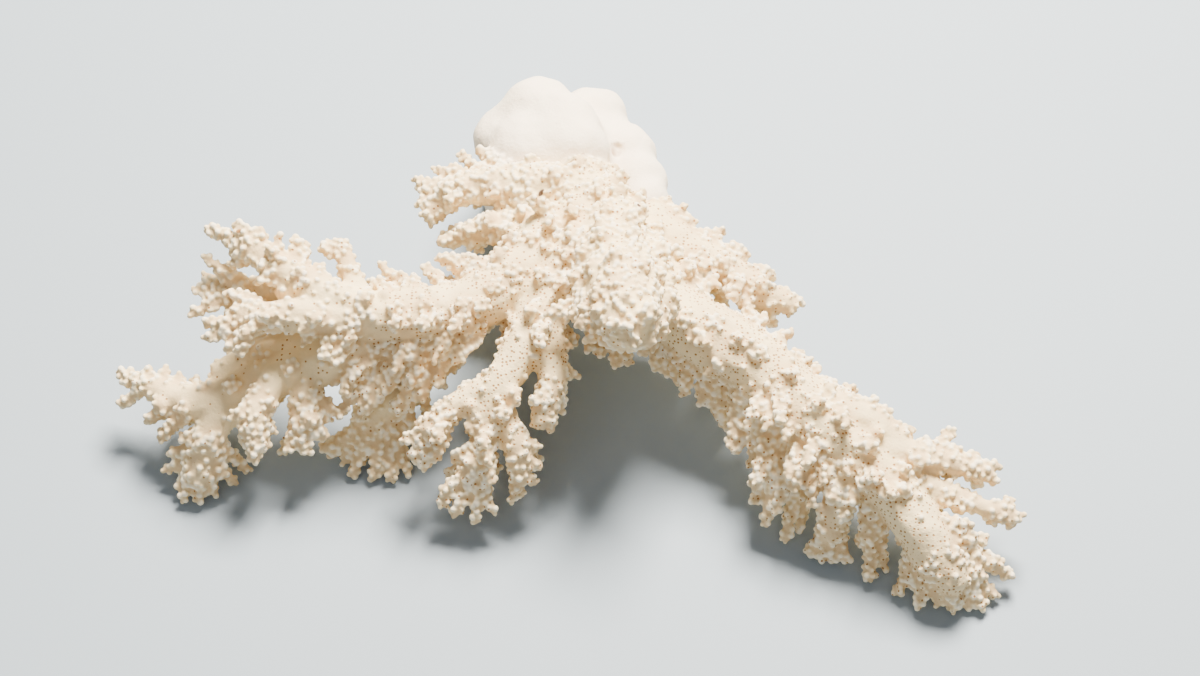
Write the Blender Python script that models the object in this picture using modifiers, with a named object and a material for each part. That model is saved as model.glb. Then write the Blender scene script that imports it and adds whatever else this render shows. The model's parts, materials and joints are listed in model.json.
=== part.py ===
"""A piece of white branching coral, lying as it was set down: on the flat cut under its holdfast and on the
tips of its lowest branchlets.

Metres, +Z up. The origin is the middle of the flat cut, and the branches reach forwards, towards -Y.
"""

import math
import random

import bmesh
import bpy
from mathutils import Vector

MM = 0.001

# The survey: every point of the coral is read as (across, up, height) in millimetres.
# Across and up lie in a plane square to the line of sight, and height is above the table.
SIGHT_ELEVATION = math.radians(55)
SIGHT_DISTANCE = 750
AIM_HEIGHT = 40
CUT_MIDDLE_SEEN = (-12, 52)

# Branchlets: their lengths and radii in millimetres, and the rest as shares
TIP_RADIUS = 2.8
ROOT_RADIUS = 3.4
ROOT_RADIUS_PER_LENGTH = 0.06
MOST_ROOT_RADIUS = 5.4
MOST_OF_PARENT = 0.9
GROWTH_SLANT = 0.55
FORKING_COST = 0.65
FORWARD = 0.35
BOW = 0.06
STEP = 3.0
WILD_SPACING = 9.5
WILD_LENGTH = (6, 11)
WILD_SLANT = 0.6
SEEN_FACING = -0.1
WILD_CLEARANCE = 2.2
SEED = 11

# Skin: how finely the shapes are melted together, how lumpy they are, and how they are faceted and parted
VOXEL = 1.3 * MM
SOFTENING = 3
HOLDFAST_SOFTENING = 50
LUMP_SIZE = 11 * MM
LUMP_RISE = 2.4 * MM
FACES_PER_TUBE = 11
FACES_PER_LIMB = 18
HOLDFAST_FACES = 440
GAP = 0.6 * MM
SLIVER_SHARE = 0.015
ROUND_END_TURNS = [math.radians(turn) for turn in (27, 54, 81)]

# Finishes: a colour and a roughness
CREAM = (0.86, 0.79, 0.69), 0.85
WORN_WHITE = (0.88, 0.83, 0.75), 0.75

# The holdfast's lobes: spheres of (across, up, height, radius)
HOLDFAST_LOBES = [
    (-25, 89, 50, 17.5),
    (-38, 79, 44, 14.5),
    (-16, 82, 52, 18.5),
    (-12, 74, 54, 17.5),
    (-28, 72, 50, 19),
    (-4, 87, 34, 15.5),
    (1, 90, 32, 11.5),
    (10, 73, 36, 14.5),
    (16, 62, 37, 13),
    (18, 53, 38, 11.5),
    (-22, 70, 26, 26),
    (0, 66, 24, 26),
    (-26, 58, 8, 24),
    (-12, 54, 6, 25),
    (2, 54, 8, 24),
]

# Each limb is a list of (across, up, height, radius) from its root, and each tip the (across, up, height)
# that one branchlet reaches.
CORAL = {
    "trunk": {
        "limbs": [
            [(-10, 68, 40, 15), (-7, 56, 53, 17), (-4, 44, 57, 18), (-8, 31, 58, 16), (-16, 22, 56, 13)],
            [(-8, 48, 55, 15), (-20, 39, 56, 14), (-31, 30, 56, 13)],
            [(0, 46, 56, 16), (12, 33, 54, 16), (24, 20, 52, 14)],
            [(6, 26, 50, 14), (6, 8, 45, 9)],
        ],
        "tips": [
            (-12, 42, 77), (-14, 33, 75), (-9, 37, 77), (-18, 20, 71), (-13, 52, 80), (-22, 47, 76),
            (-29, 57, 78), (0, 60, 79), (-15, 67, 74), (3, 71, 70), (11, 66, 70), (20, 60, 66),
            (30, 55, 56), (29, 50, 52), (-38, 36, 66), (-28, 40, 72), (-36, 24, 68), (-27, 25, 70),
            (-6, -6, 40), (-1, -9, 37), (7, -13, 33), (13, -13, 33), (19, -8, 38), (2, -4, 30),
        ],
    },
    "front_stub": {
        "limbs": [
            [(4, 44, 62, 15), (6, 30, 69, 15.5), (9, 16, 76, 15.5), (11, 8, 78, 13)],
            [(2, 34, 65, 11.5), (-1, 20, 70, 10.5), (-3, 10, 71, 7)],
            [(12, 34, 64, 12), (19, 22, 68, 11), (25, 14, 70, 7)],
            [(12, 16, 72, 10), (20, 8, 71, 8), (24, 4, 69, 5)],
        ],
        "tips": [
            (-13, 24, 78), (-11, 29, 77), (-9, 11, 80), (-10, 4, 76), (-4, 1, 77), (31, 18, 74),
            (28, 10, 73), (26, 2, 70), (20, -3, 70), (13, 3, 88), (4, 4, 88), (9, -5, 72),
            (1, -4, 72), (26, 27, 72), (6, 22, 92), (16, 20, 90), (-4, 18, 88), (24, 6, 80),
            (14, 33, 86), (2, 36, 84), (14, -6, 66),
        ],
    },
    "crown_tuft": {
        "limbs": [
            [(-16, 58, 60, 13), (-34, 60, 60, 10), (-48, 60, 58, 8), (-60, 58, 56, 5.5)],
            [(-20, 46, 56, 10), (-40, 45, 54, 7), (-54, 42, 51, 5)],
        ],
        "tips": [
            (-76, 64, 53), (-74, 59, 51), (-75, 53, 49), (-73, 48, 48), (-68, 69, 56), (-61, 70, 58),
            (-57, 75, 56), (-51, 77, 56), (-70, 44, 44), (-66, 40, 42), (-67, 38, 49), (-63, 35, 45),
            (-55, 44, 58), (-52, 34, 46), (-58, 62, 65), (-46, 57, 67), (-45, 66, 67), (-38, 70, 66),
            (-34, 52, 68), (-66, 62, 62), (-62, 54, 62), (-44, 36, 52), (-30, 66, 72), (-60, 60, 44),
            (-50, 52, 44), (-42, 44, 62),
        ],
    },
    "left_limb": {
        "limbs": [[(-26, 28, 56, 14), (-42, 18, 56, 12.5), (-60, 11, 56, 11.5), (-78, 9, 57, 11.5), (-92, 8, 57, 10)]],
        "tips": [
            (-71, 31, 60), (-67, 34, 62), (-62, 34, 62), (-57, 34, 63), (-52, 33, 64), (-76, 26, 62),
            (-82, 28, 62), (-89, 31, 61), (-90, 25, 62), (-46, 30, 66), (-103, -25, 35), (-97, -29, 31),
            (-94, -31, 30), (-99, -34, 24), (-87, -24, 36), (-83, -15, 48), (-75, -11, 50), (-76, -20, 42),
            (-83, -31, 28), (-77, -30, 26), (-68, -12, 50), (-73, -26, 34), (-66, -20, 40), (-64, -4, 54),
            (-57, -12, 48), (-53, -8, 50), (-50, -1, 54), (-85, 13, 71), (-72, 15, 70), (-57, 13, 70),
            (-73, 5, 70), (-45, 21, 71), (-60, 3, 68), (-84, 5, 70), (-106, -33, 30), (-101, -19, 42),
        ],
    },
    "left_under_fan": {
        "limbs": [[(-60, 4, 44, 10), (-73, -12, 32, 9.5), (-86, -28, 20, 8), (-95, -40, 12, 6)]],
        "tips": [
            (-110, -49, 6), (-113, -45, 10), (-104, -52, 3), (-100, -57, 1.6), (-91, -59, 1.4), (-83, -59, 1.4),
            (-76, -56, 1.8), (-79, -50, 6), (-97, -46, 12), (-88, -48, 10), (-105, -40, 14), (-62, -22, 22),
            (-68, -34, 14), (-56, -12, 28), (-72, -44, 8), (-96, -30, 22),
        ],
    },
    "left_upper_fan": {
        "limbs": [
            [(-90, 9, 58, 10.5), (-105, 14, 63, 9), (-122, 24, 68, 7.5), (-140, 37, 73, 5.5)],
            [(-98, 8, 60, 9), (-122, 9, 64, 7.5), (-142, 9, 64, 5.5)],
            [(-95, 10, 60, 7), (-99, 24, 64, 5), (-104, 37, 67, 3.8)],
            [(-112, 14, 58, 7), (-132, 19, 54, 6), (-150, 18, 52, 5)],
        ],
        "tips": [
            (-158, 45, 74), (-147, 48, 79), (-143, 46, 80), (-136, 47, 80), (-128, 43, 78), (-122, 43, 76),
            (-118, 41, 72), (-113, 37, 68), (-160, 34, 67), (-156, 31, 66), (-150, 29, 66), (-133, 37, 82),
            (-139, 23, 72), (-138, 29, 76), (-122, 28, 78), (-152, 20, 66), (-161, 6, 62), (-160, -1, 58),
            (-151, -5, 56), (-146, -7, 59), (-144, 0, 66), (-136, 9, 73), (-150, 12, 66), (-116, 8, 74),
            (-107, -13, 52), (-112, -9, 56), (-120, -5, 57), (-100, -2, 62), (-166, 19, 52), (-161, 26, 54),
            (-166, 9, 50), (-160, 15, 50), (-156, 22, 56), (-110, 39, 66), (-104, 41, 67), (-99, 37, 65),
            (-96, 29, 62), (-120, 32, 60), (-132, 4, 54), (-140, 24, 44), (-150, 6, 48),
            (-150, 36, 70), (-112, 32, 70), (-111, 24, 68), (-144, 33, 74),
        ],
    },
    "left_lower_limb": {
        "limbs": [
            [(-88, 4, 50, 10.5), (-108, -8, 42, 11), (-130, -15, 37, 10), (-148, -22, 32, 9), (-163, -26, 29, 7.5),
             (-178, -20, 27, 5.5), (-189, -16, 26, 4)],
            [(-94, 1, 48, 10), (-118, -2, 43, 8.5), (-136, -7, 38, 7.5), (-150, -14, 34, 6.5)],
            [(-148, -24, 31, 8), (-156, -40, 22, 7), (-160, -54, 12, 6)],
            [(-112, -8, 42, 8), (-118, -22, 37, 6.5), (-119, -34, 31, 5.5)],
            [(-130, -16, 40, 8), (-138, -30, 38, 6.5), (-138, -40, 33, 5)],
        ],
        "tips": [
            (-194, -12, 26), (-193, -27, 21), (-188, -11, 29), (-181, -10, 31), (-174, -10, 31), (-168, -13, 30),
            (-157, -13, 34), (-150, -11, 37), (-160, -18, 38), (-183, -34, 20), (-178, -33, 18), (-178, -42, 17),
            (-174, -46, 14), (-176, -54, 8), (-170, -53, 8), (-170, -62, 3), (-168, -67, 1.5), (-161, -67, 1.4),
            (-153, -64, 2), (-156, -60, 8), (-149, -56, 10), (-144, -60, 1.5), (-139, -54, 2.5), (-163, -44, 26),
            (-155, -44, 26), (-150, -48, 16), (-170, -40, 24), (-145, -38, 38), (-143, -44, 26), (-138, -51, 27),
            (-133, -46, 26), (-129, -39, 28), (-149, -32, 42), (-131, -28, 44), (-125, -47, 24), (-117, -48, 24),
            (-112, -41, 26), (-108, -42, 25), (-113, -28, 38), (-106, -34, 26), (-106, -18, 38), (-128, -48, 6),
            (-135, -8, 44), (-142, -22, 46), (-104, -8, 50), (-186, -22, 18), (-102, -24, 40), (-104, -30, 32),
        ],
    },
    "middle_branch": {
        "limbs": [
            [(-18, 24, 56, 12), (-25, 8, 54, 10), (-33, -8, 50, 8.5), (-41, -21, 45, 8), (-46, -34, 38, 6.5),
             (-46, -48, 30, 5), (-48, -60, 21, 4)],
            [(-42, -20, 45, 7), (-57, -27, 42, 6), (-68, -36, 38, 5)],
            [(-22, 8, 52, 8), (-20, -6, 49, 7), (-20, -20, 45, 6), (-24, -33, 39, 5)],
            [(-40, -28, 41, 6.5), (-34, -42, 34, 6), (-32, -55, 25, 4.5)],
        ],
        "tips": [
            (-37, 11, 55), (-42, -3, 50), (-49, -13, 46), (-56, -17, 46), (-76, -34, 36), (-81, -42, 33),
            (-76, -50, 27), (-71, -54, 24), (-66, -50, 28), (-61, -49, 27), (-62, -55, 12), (-56, -38, 40),
            (-52, -35, 40), (-64, -62, 20), (-65, -69, 14), (-60, -74, 11), (-50, -76, 10), (-42, -72, 12),
            (-36, -68, 14), (-35, -62, 20), (-31, -65, 10), (-25, -60, 19), (-21, -53, 25), (-26, -49, 31),
            (-22, -44, 32), (-18, -40, 34), (-15, -31, 35), (-13, -22, 38), (-14, -27, 36), (-21, -26, 46),
            (-28, -26, 50), (-12, -10, 46), (-17, -15, 45), (-10, -5, 46), (-15, 4, 50), (-8, -3, 40),
            (-24, -3, 67), (-45, -52, 37), (-54, -52, 31), (-38, -31, 50), (-41, -60, 26), (-47, -44, 44),
            (-29, 10, 68), (-36, -48, 18), (-50, -28, 30), (-66, -42, 44),
        ],
    },
    "right_spur": {
        "limbs": [[(20, 44, 52, 12), (36, 33, 52, 10), (50, 26, 50, 9), (64, 18, 48, 7), (75, 14, 46, 5)]],
        "tips": [
            (83, 14, 44), (76, 20, 47), (77, 8, 41), (68, 7, 42), (61, 8, 50), (70, 28, 50),
            (66, 29, 52), (61, 35, 52), (57, 38, 54), (50, 41, 55), (43, 43, 56), (40, 48, 57),
            (34, 50, 58), (42, 34, 62), (43, 17, 57), (38, 21, 58), (47, 20, 60), (58, 20, 60),
            (54, 15, 58), (68, 22, 58), (52, 30, 62), (44, 28, 62), (60, 24, 40), (48, 34, 40),
        ],
    },
    "right_limb": {
        "limbs": [
            [(22, 16, 50, 14), (36, 5, 49, 13.5), (52, -4, 47, 13.5), (66, -13, 44, 13), (79, -25, 42, 13),
             (91, -37, 40, 12), (104, -47, 37, 11)],
        ],
        "tips": [
            (79, 3, 48), (82, -5, 46), (87, -8, 44), (90, -12, 44), (96, -17, 44), (99, -21, 44),
            (22, -15, 27), (27, -16, 25), (31, -20, 27), (36, -14, 34), (30, -12, 40), (34, -25, 30),
            (41, -28, 27), (46, -28, 21), (48, -12, 52), (51, -20, 40), (55, -27, 38), (46, -34, 22),
            (50, -38, 18), (57, -38, 32), (52, -46, 23), (55, -48, 20), (60, -47, 28), (65, -47, 34),
            (59, -54, 18), (69, -51, 22), (74, -43, 46), (64, -58, 26), (75, -57, 36), (77, -63, 30),
            (83, -53, 44), (89, -61, 36), (61, -68, 14), (66, -78, 9), (74, -83, 4), (70, -72, 18),
            (80, -80, 2), (72, -62, 20), (79, -14, 60), (57, -1, 62), (66, -6, 60), (90, -26, 58),
            (60, -33, 46), (66, -37, 46), (44, -3, 62), (34, 7, 62), (48, 7, 62), (72, -34, 56),
            (50, 13, 52), (58, 9, 50), (66, 4, 50), (82, -62, 34), (84, -70, 26), (61, -62, 26),
        ],
    },
    "right_finger_bunch": {
        "limbs": [
            [(98, -46, 36, 9), (96, -62, 28, 7.5), (92, -76, 17, 6)],
            [(106, -50, 34, 8), (109, -66, 27, 5.5), (107, -78, 19, 4.5)],
        ],
        "tips": [
            (86, -78, 18), (83, -87, 1.6), (88, -90, 1.5), (94, -91, 1.5), (100, -92, 1.5), (86, -70, 26),
            (95, -80, 18), (100, -72, 28), (103, -68, 32), (98, -55, 44), (106, -60, 42), (108, -88, 12),
            (115, -80, 17), (108, -98, 1.6), (114, -94, 2), (102, -84, 6), (92, -66, 34),
        ],
    },
    "right_limb_end": {
        "limbs": [
            [(104, -48, 36, 11), (116, -60, 32, 10.5), (126, -73, 27, 10.5), (134, -86, 21, 10), (140, -96, 15, 7.5)],
        ],
        "tips": [
            (157, -81, 18), (152, -80, 24), (156, -86, 14), (168, -97, 6), (162, -90, 12), (156, -96, 12),
            (160, -104, 2.5), (155, -109, 1.5), (148, -109, 1.5), (142, -111, 1.5), (135, -109, 1.5),
            (127, -110, 1.6), (124, -100, 6), (118, -104, 1.6), (121, -92, 8), (132, -96, 20), (142, -96, 20),
            (150, -100, 10), (151, -75, 27), (118, -64, 46), (124, -62, 44), (130, -104, 6), (120, -84, 12),
            (146, -88, 26), (112, -57, 48),
        ],
    },
    "right_upper_fingers": {
        "limbs": [
            [(104, -40, 40, 8), (122, -46, 38, 6.5), (140, -50, 35, 5), (154, -54, 32, 4)],
            [(118, -54, 34, 7), (137, -62, 29, 5), (154, -68, 25, 4.5), (164, -71, 22, 4)],
            [(90, -27, 44, 9), (106, -34, 43, 8), (118, -41, 40, 6.5)],
        ],
        "tips": [
            (153, -44, 35), (150, -46, 36), (161, -51, 31), (160, -59, 28), (148, -58, 31), (145, -43, 36),
            (139, -42, 38), (133, -39, 40), (127, -36, 42), (121, -33, 44), (117, -28, 47), (112, -23, 48),
            (104, -22, 50), (166, -63, 24), (171, -71, 20), (167, -77, 17), (157, -76, 18), (152, -61, 28),
            (124, -52, 46), (132, -50, 44), (100, -36, 58), (110, -44, 52), (133, -58, 34), (145, -62, 22),
            (146, -71, 28), (140, -68, 30),
        ],
    },
}
# Nodes whose wild branchlets are fewer, because their limbs are bare or crowded
FEW_WILD = {"trunk": 0.5, "front_stub": 0.7}


def line_of_sight():
    """The eye and the picture plane's middle, with its across and up directions, in millimetres."""
    back = Vector((0, -math.cos(SIGHT_ELEVATION), math.sin(SIGHT_ELEVATION)))
    aim = Vector((0, 0, AIM_HEIGHT))
    rise = Vector((0, math.sin(SIGHT_ELEVATION), math.cos(SIGHT_ELEVATION)))
    return aim + back * SIGHT_DISTANCE, aim, Vector((1, 0, 0)), rise


def surveyed(across, up, height):
    """The point at this height that shows at (across, up), in millimetres from under the aim."""
    eye, aim, right, rise = line_of_sight()
    ray = aim + right * across + rise * up - eye
    return eye + ray * ((height - eye.z) / ray.z)


def placed(across, up, height):
    """A surveyed point from the middle of the flat cut, in millimetres."""
    return surveyed(across, up, height) - surveyed(*CUT_MIDDLE_SEEN, 0)


def smooth_path(points):
    """(place, radius) every few millimetres along a smooth curve through a limb's points."""
    knots = [(placed(a, u, h), r) for a, u, h, r in points]
    ends = [(knots[0][0] * 2 - knots[1][0], knots[0][1]), *knots, (knots[-1][0] * 2 - knots[-2][0], knots[-1][1])]
    path = []
    for (p0, _), (p1, r1), (p2, r2), (p3, _) in zip(ends, ends[1:], ends[2:], ends[3:]):
        count = max(2, round((p2 - p1).length / STEP))
        for i in range(count):
            t = i / count
            place = 0.5 * (
                2 * p1 + (p2 - p0) * t + (2 * p0 - 5 * p1 + 4 * p2 - p3) * t * t
                + (3 * p1 - p0 - 3 * p2 + p3) * t * t * t
            )
            path.append((place, r1 + (r2 - r1) * t))
    path.append(knots[-1])
    return path


class Joint:
    """One place along a tube, and how far it is from the limb that the tube grows from."""

    def __init__(self, place, radius, walked, heading, tube, number):
        self.place, self.radius, self.walked = place, radius, walked
        self.heading, self.tube, self.number = heading, tube, number

    def cost(self, tip):
        """How far new growth has to go to reach tip from here. Growth never turns back on a branchlet."""
        reach = tip - self.place
        if self.walked and reach.dot(self.heading) < FORWARD * reach.length:
            return math.inf
        return reach.length - self.radius + FORKING_COST * self.walked


class Skeleton:
    """The centre lines of one node's limbs and branchlets."""

    def __init__(self, limbs):
        self.tubes = []
        self.joints = []
        for limb in limbs:
            self.add(smooth_path(limb))
        self.limb_count = len(self.tubes)

    def add(self, path, walked=None):
        """Adds a tube. A limb has no walked distance, and a branchlet starts with its root's."""
        for number, (place, radius) in enumerate(path):
            ahead = path[min(number + 1, len(path) - 1)][0] - path[max(number - 1, 0)][0]
            so_far = 0 if walked is None else walked + (place - path[0][0]).length
            self.joints.append(Joint(place, radius, so_far, ahead.normalized(), len(self.tubes), number))
        self.tubes.append(path)

    def root_for(self, tip):
        """The joint that a branchlet leaves from to reach tip. On a limb it slants forwards, as coral grows."""
        joint = min(self.joints, key=lambda joint: joint.cost(tip))
        if joint.walked:
            return joint
        back = min(joint.number, round((joint.place - tip).length * GROWTH_SLANT / STEP))
        return self.joints[self.joints.index(joint) - back]

    def grow(self, tip, rng):
        """Adds the branchlet that reaches tip along a slight bow."""
        root = self.root_for(tip)
        end = tip - (tip - root.place).normalized() * TIP_RADIUS
        length = (end - root.place).length
        thick = min(MOST_ROOT_RADIUS, root.radius * MOST_OF_PARENT, ROOT_RADIUS + ROOT_RADIUS_PER_LENGTH * length)
        bow = Vector([rng.uniform(-1, 1) for _ in range(3)]) * BOW * length
        count = max(2, round(length / STEP))
        path = []
        for i in range(count + 1):
            t = i / count
            path.append((root.place.lerp(end, t) + bow * math.sin(math.pi * t), thick + (TIP_RADIUS - thick) * t))
        self.add(path, root.walked)


def wild_tips(skeleton, share, rng):
    """Tips for the sides of the limbs that the survey didn't see."""
    eye = line_of_sight()[0] - surveyed(*CUT_MIDDLE_SEEN, 0)
    tips = []
    for path in skeleton.tubes[: skeleton.limb_count]:
        for (here, radius), (there, _) in zip(path[1::3], path[2::3]):
            along = (there - here).normalized()
            side = along.orthogonal().normalized()
            round_count = max(3, round(2 * math.pi * radius / WILD_SPACING))
            turn = rng.uniform(0, 2 * math.pi)
            for k in range(round_count):
                angle = turn + 2 * math.pi * k / round_count
                out = side * math.cos(angle) + along.cross(side) * math.sin(angle)
                length = rng.uniform(*WILD_LENGTH)
                seen = out.dot((eye - here).normalized()) > SEEN_FACING
                if rng.random() < share and not seen:
                    tips.append(here + out * (radius + length) + along * length * WILD_SLANT)
    return tips


def grown_coral():
    """Every node's skeleton, with its surveyed branchlets and then its wild ones."""
    rng = random.Random(SEED)
    skeletons = {name: Skeleton(node["limbs"]) for name, node in CORAL.items()}
    for name, skeleton in skeletons.items():
        tips = [placed(*tip) for tip in CORAL[name]["tips"]]
        reach = {id(tip): min(joint.cost(tip) for joint in skeleton.joints) for tip in tips}
        for tip in sorted(tips, key=lambda tip: reach[id(tip)]):
            skeleton.grow(tip, rng)
    lobes = [(placed(across, up, height), radius) for across, up, height, radius in HOLDFAST_LOBES]
    for name, skeleton in skeletons.items():
        for tip in wild_tips(skeleton, FEW_WILD.get(name, 1), rng):
            grown = [(joint.place, joint.radius) for other in skeletons.values() for joint in other.joints]
            clearance = TIP_RADIUS + WILD_CLEARANCE
            free = all((tip - place).length > radius + clearance for place, radius in grown + lobes)
            if free and tip.z > clearance:
                skeleton.grow(tip, rng)
    return skeletons


def collection(name):
    made = bpy.data.collections.new(name)
    bpy.context.scene.collection.children.link(made)
    return made


def rounded(path):
    """The path with round ends in place of flat ones."""
    ends = []
    for (place, radius), (inner, _) in ((path[0], path[1]), (path[-1], path[-2])):
        out = (place - inner).normalized()
        ends.append([(place + out * radius * math.sin(turn), radius * math.cos(turn)) for turn in ROUND_END_TURNS])
    return ends[0][::-1] + path + ends[1]


def tubes_object(name, tubes, into):
    """One mesh of closed tubes, one for each centre line."""
    curve = bpy.data.curves.new(name, "CURVE")
    curve.dimensions = "3D"
    curve.bevel_depth = MM
    curve.bevel_resolution = 2
    curve.use_fill_caps = True
    for path in map(rounded, tubes):
        spline = curve.splines.new("POLY")
        spline.points.add(len(path) - 1)
        for point, (place, radius) in zip(spline.points, path):
            point.co = (*(place * MM), 1)
            point.radius = radius
    return mesh_object(name, curve, into)


def mesh_object(name, curve, into):
    """The curve as a mesh object, its caps welded."""
    drawn = bpy.data.objects.new(name + "_lines", curve)
    into.objects.link(drawn)
    bpy.context.view_layer.update()
    mesh = bpy.data.meshes.new_from_object(drawn.evaluated_get(bpy.context.evaluated_depsgraph_get()))
    bpy.data.objects.remove(drawn)
    edited = bmesh.new()
    edited.from_mesh(mesh)
    bmesh.ops.remove_doubles(edited, verts=edited.verts, dist=0.0001 * MM)
    edited.to_mesh(mesh)
    edited.free()
    made = bpy.data.objects.new(name, mesh)
    into.objects.link(made)
    return made


def lobes_object(name, lobes, into):
    """One mesh of overlapping spheres."""
    edited = bmesh.new()
    for across, up, height, radius in lobes:
        ball = bmesh.ops.create_uvsphere(edited, u_segments=24, v_segments=16, radius=radius * MM)
        bmesh.ops.translate(edited, verts=ball["verts"], vec=placed(across, up, height) * MM)
    mesh = bpy.data.meshes.new(name)
    edited.to_mesh(mesh)
    edited.free()
    made = bpy.data.objects.new(name, mesh)
    into.objects.link(made)
    return made


def settled(obj):
    """Replaces the object's mesh by what its modifiers make of it."""
    bpy.context.view_layer.update()
    mesh = bpy.data.meshes.new_from_object(obj.evaluated_get(bpy.context.evaluated_depsgraph_get()))
    obj.modifiers.clear()
    obj.data = mesh


def fuse(obj, softening, faces):
    """Melts overlapping shapes into one lumpy skin, and facets it."""
    melt = obj.modifiers.new("melt", "REMESH")
    melt.mode = "VOXEL"
    melt.voxel_size = VOXEL
    soften = obj.modifiers.new("soften", "SMOOTH")
    soften.factor = 0.5
    soften.iterations = softening
    lumps = obj.modifiers.new("lumps", "DISPLACE")
    lumps.texture = bpy.data.textures["lumps"]
    lumps.strength = LUMP_RISE
    settled(obj)
    facet = obj.modifiers.new("facet", "DECIMATE")
    facet.ratio = faces / sum(len(face.vertices) - 2 for face in obj.data.polygons)
    facet.use_collapse_triangulate = True
    settled(obj)


def cut_at_table(obj):
    """Cuts the object off flat at the height of the table."""
    edited = bmesh.new()
    edited.from_mesh(obj.data)
    geometry = [*edited.verts, *edited.edges, *edited.faces]
    bmesh.ops.bisect_plane(edited, geom=geometry, plane_co=(0, 0, 0), plane_no=(0, 0, -1), clear_outer=True)
    rim = [edge for edge in edited.edges if edge.is_boundary]
    bmesh.ops.holes_fill(edited, edges=rim, sides=0)
    bmesh.ops.triangulate(edited, faces=edited.faces)
    edited.to_mesh(obj.data)
    edited.free()


def cut_clear_of(obj, other, cutters):
    """Cuts the object back to a hair's gap from its neighbour. The later cuts clear what a swollen fold misses."""
    for swelling in (GAP, GAP / 3, 0):
        cutter = bpy.data.objects.new(f"{other.name}_from_{obj.name}", other.data.copy())
        cutters.objects.link(cutter)
        cutter.hide_render = True
        cutter.display_type = "WIRE"
        swell = cutter.modifiers.new("swell", "DISPLACE")
        swell.strength = swelling
        swell.mid_level = 0
        cut = obj.modifiers.new("clear", "BOOLEAN")
        cut.object = cutter
        cut.operation = "DIFFERENCE"
        cut.solver = "MANIFOLD"
        settled(obj)
        bpy.data.objects.remove(cutter)


def close_slivers(obj):
    """Takes out the slivers that the cuts leave: of all faces they change the shape the least."""
    thin = obj.modifiers.new("thin", "DECIMATE")
    thin.ratio = 1 - SLIVER_SHARE
    thin.use_collapse_triangulate = True
    settled(obj)


def keep_largest(obj):
    """Drops what a cut has severed."""
    edited = bmesh.new()
    edited.from_mesh(obj.data)
    left, islands = set(edited.faces), []
    while left:
        island, front = set(), [left.pop()]
        while front:
            face = front.pop()
            island.add(face)
            for edge in face.edges:
                if len(edge.link_faces) == 2:
                    beyond = set(edge.link_faces) & left
                    left -= beyond
                    front += beyond
        islands.append(island)
    islands.sort(key=len)
    for island in islands[:-1]:
        bmesh.ops.delete(edited, geom=list(island), context="FACES")
    edited.to_mesh(obj.data)
    edited.free()


def boxes_meet(first, second):
    """Whether the bounding boxes of two meshes overlap."""
    spans = []
    for obj in (first, second):
        xyz = list(zip(*(v.co for v in obj.data.vertices)))
        spans.append([(min(values), max(values)) for values in xyz])
    return all(a[0] < b[1] + GAP and b[0] < a[1] + GAP for a, b in zip(*spans))


def coral_material(name, color, roughness):
    """A matt, chalky finish."""
    made = bpy.data.materials.new(name + "_finish")
    made.use_nodes = True
    shader = made.node_tree.nodes["Principled BSDF"]
    shader.inputs["Base Color"].default_value = (*color, 1)
    shader.inputs["Roughness"].default_value = roughness
    shader.inputs["Metallic"].default_value = 0
    return made


def build():
    for obj in list(bpy.data.objects):
        bpy.data.objects.remove(obj)
    parts, cutters = collection("branching_coral"), collection("cutters")
    lumps = bpy.data.textures.new("lumps", "CLOUDS")
    lumps.noise_scale = LUMP_SIZE
    made = [lobes_object("holdfast", HOLDFAST_LOBES, parts)]
    fuse(made[0], HOLDFAST_SOFTENING, HOLDFAST_FACES)
    cut_at_table(made[0])
    for name, skeleton in grown_coral().items():
        obj = tubes_object(name, skeleton.tubes, parts)
        fuse(obj, SOFTENING, FACES_PER_TUBE * len(skeleton.tubes) + FACES_PER_LIMB * skeleton.limb_count)
        cut_at_table(obj)
        for other in made:
            if boxes_meet(obj, other):
                cut_clear_of(obj, other, cutters)
        keep_largest(obj)
        close_slivers(obj)
        made.append(obj)
    for obj in made:
        obj.data.materials.clear()
        smooth = obj.name == "holdfast"
        obj.data.materials.append(coral_material(obj.name, *(WORN_WHITE if smooth else CREAM)))


build()
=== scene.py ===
"""A piece of white branching coral, lying on a pale floor.

The limbs and branchlets are grown from the same survey as the solids, a little thinner. Geometry Nodes set
knobs on them, all of it is melted to one skin, and the skin is parted where the coral forks.
"""

import json
import math
import random

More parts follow.
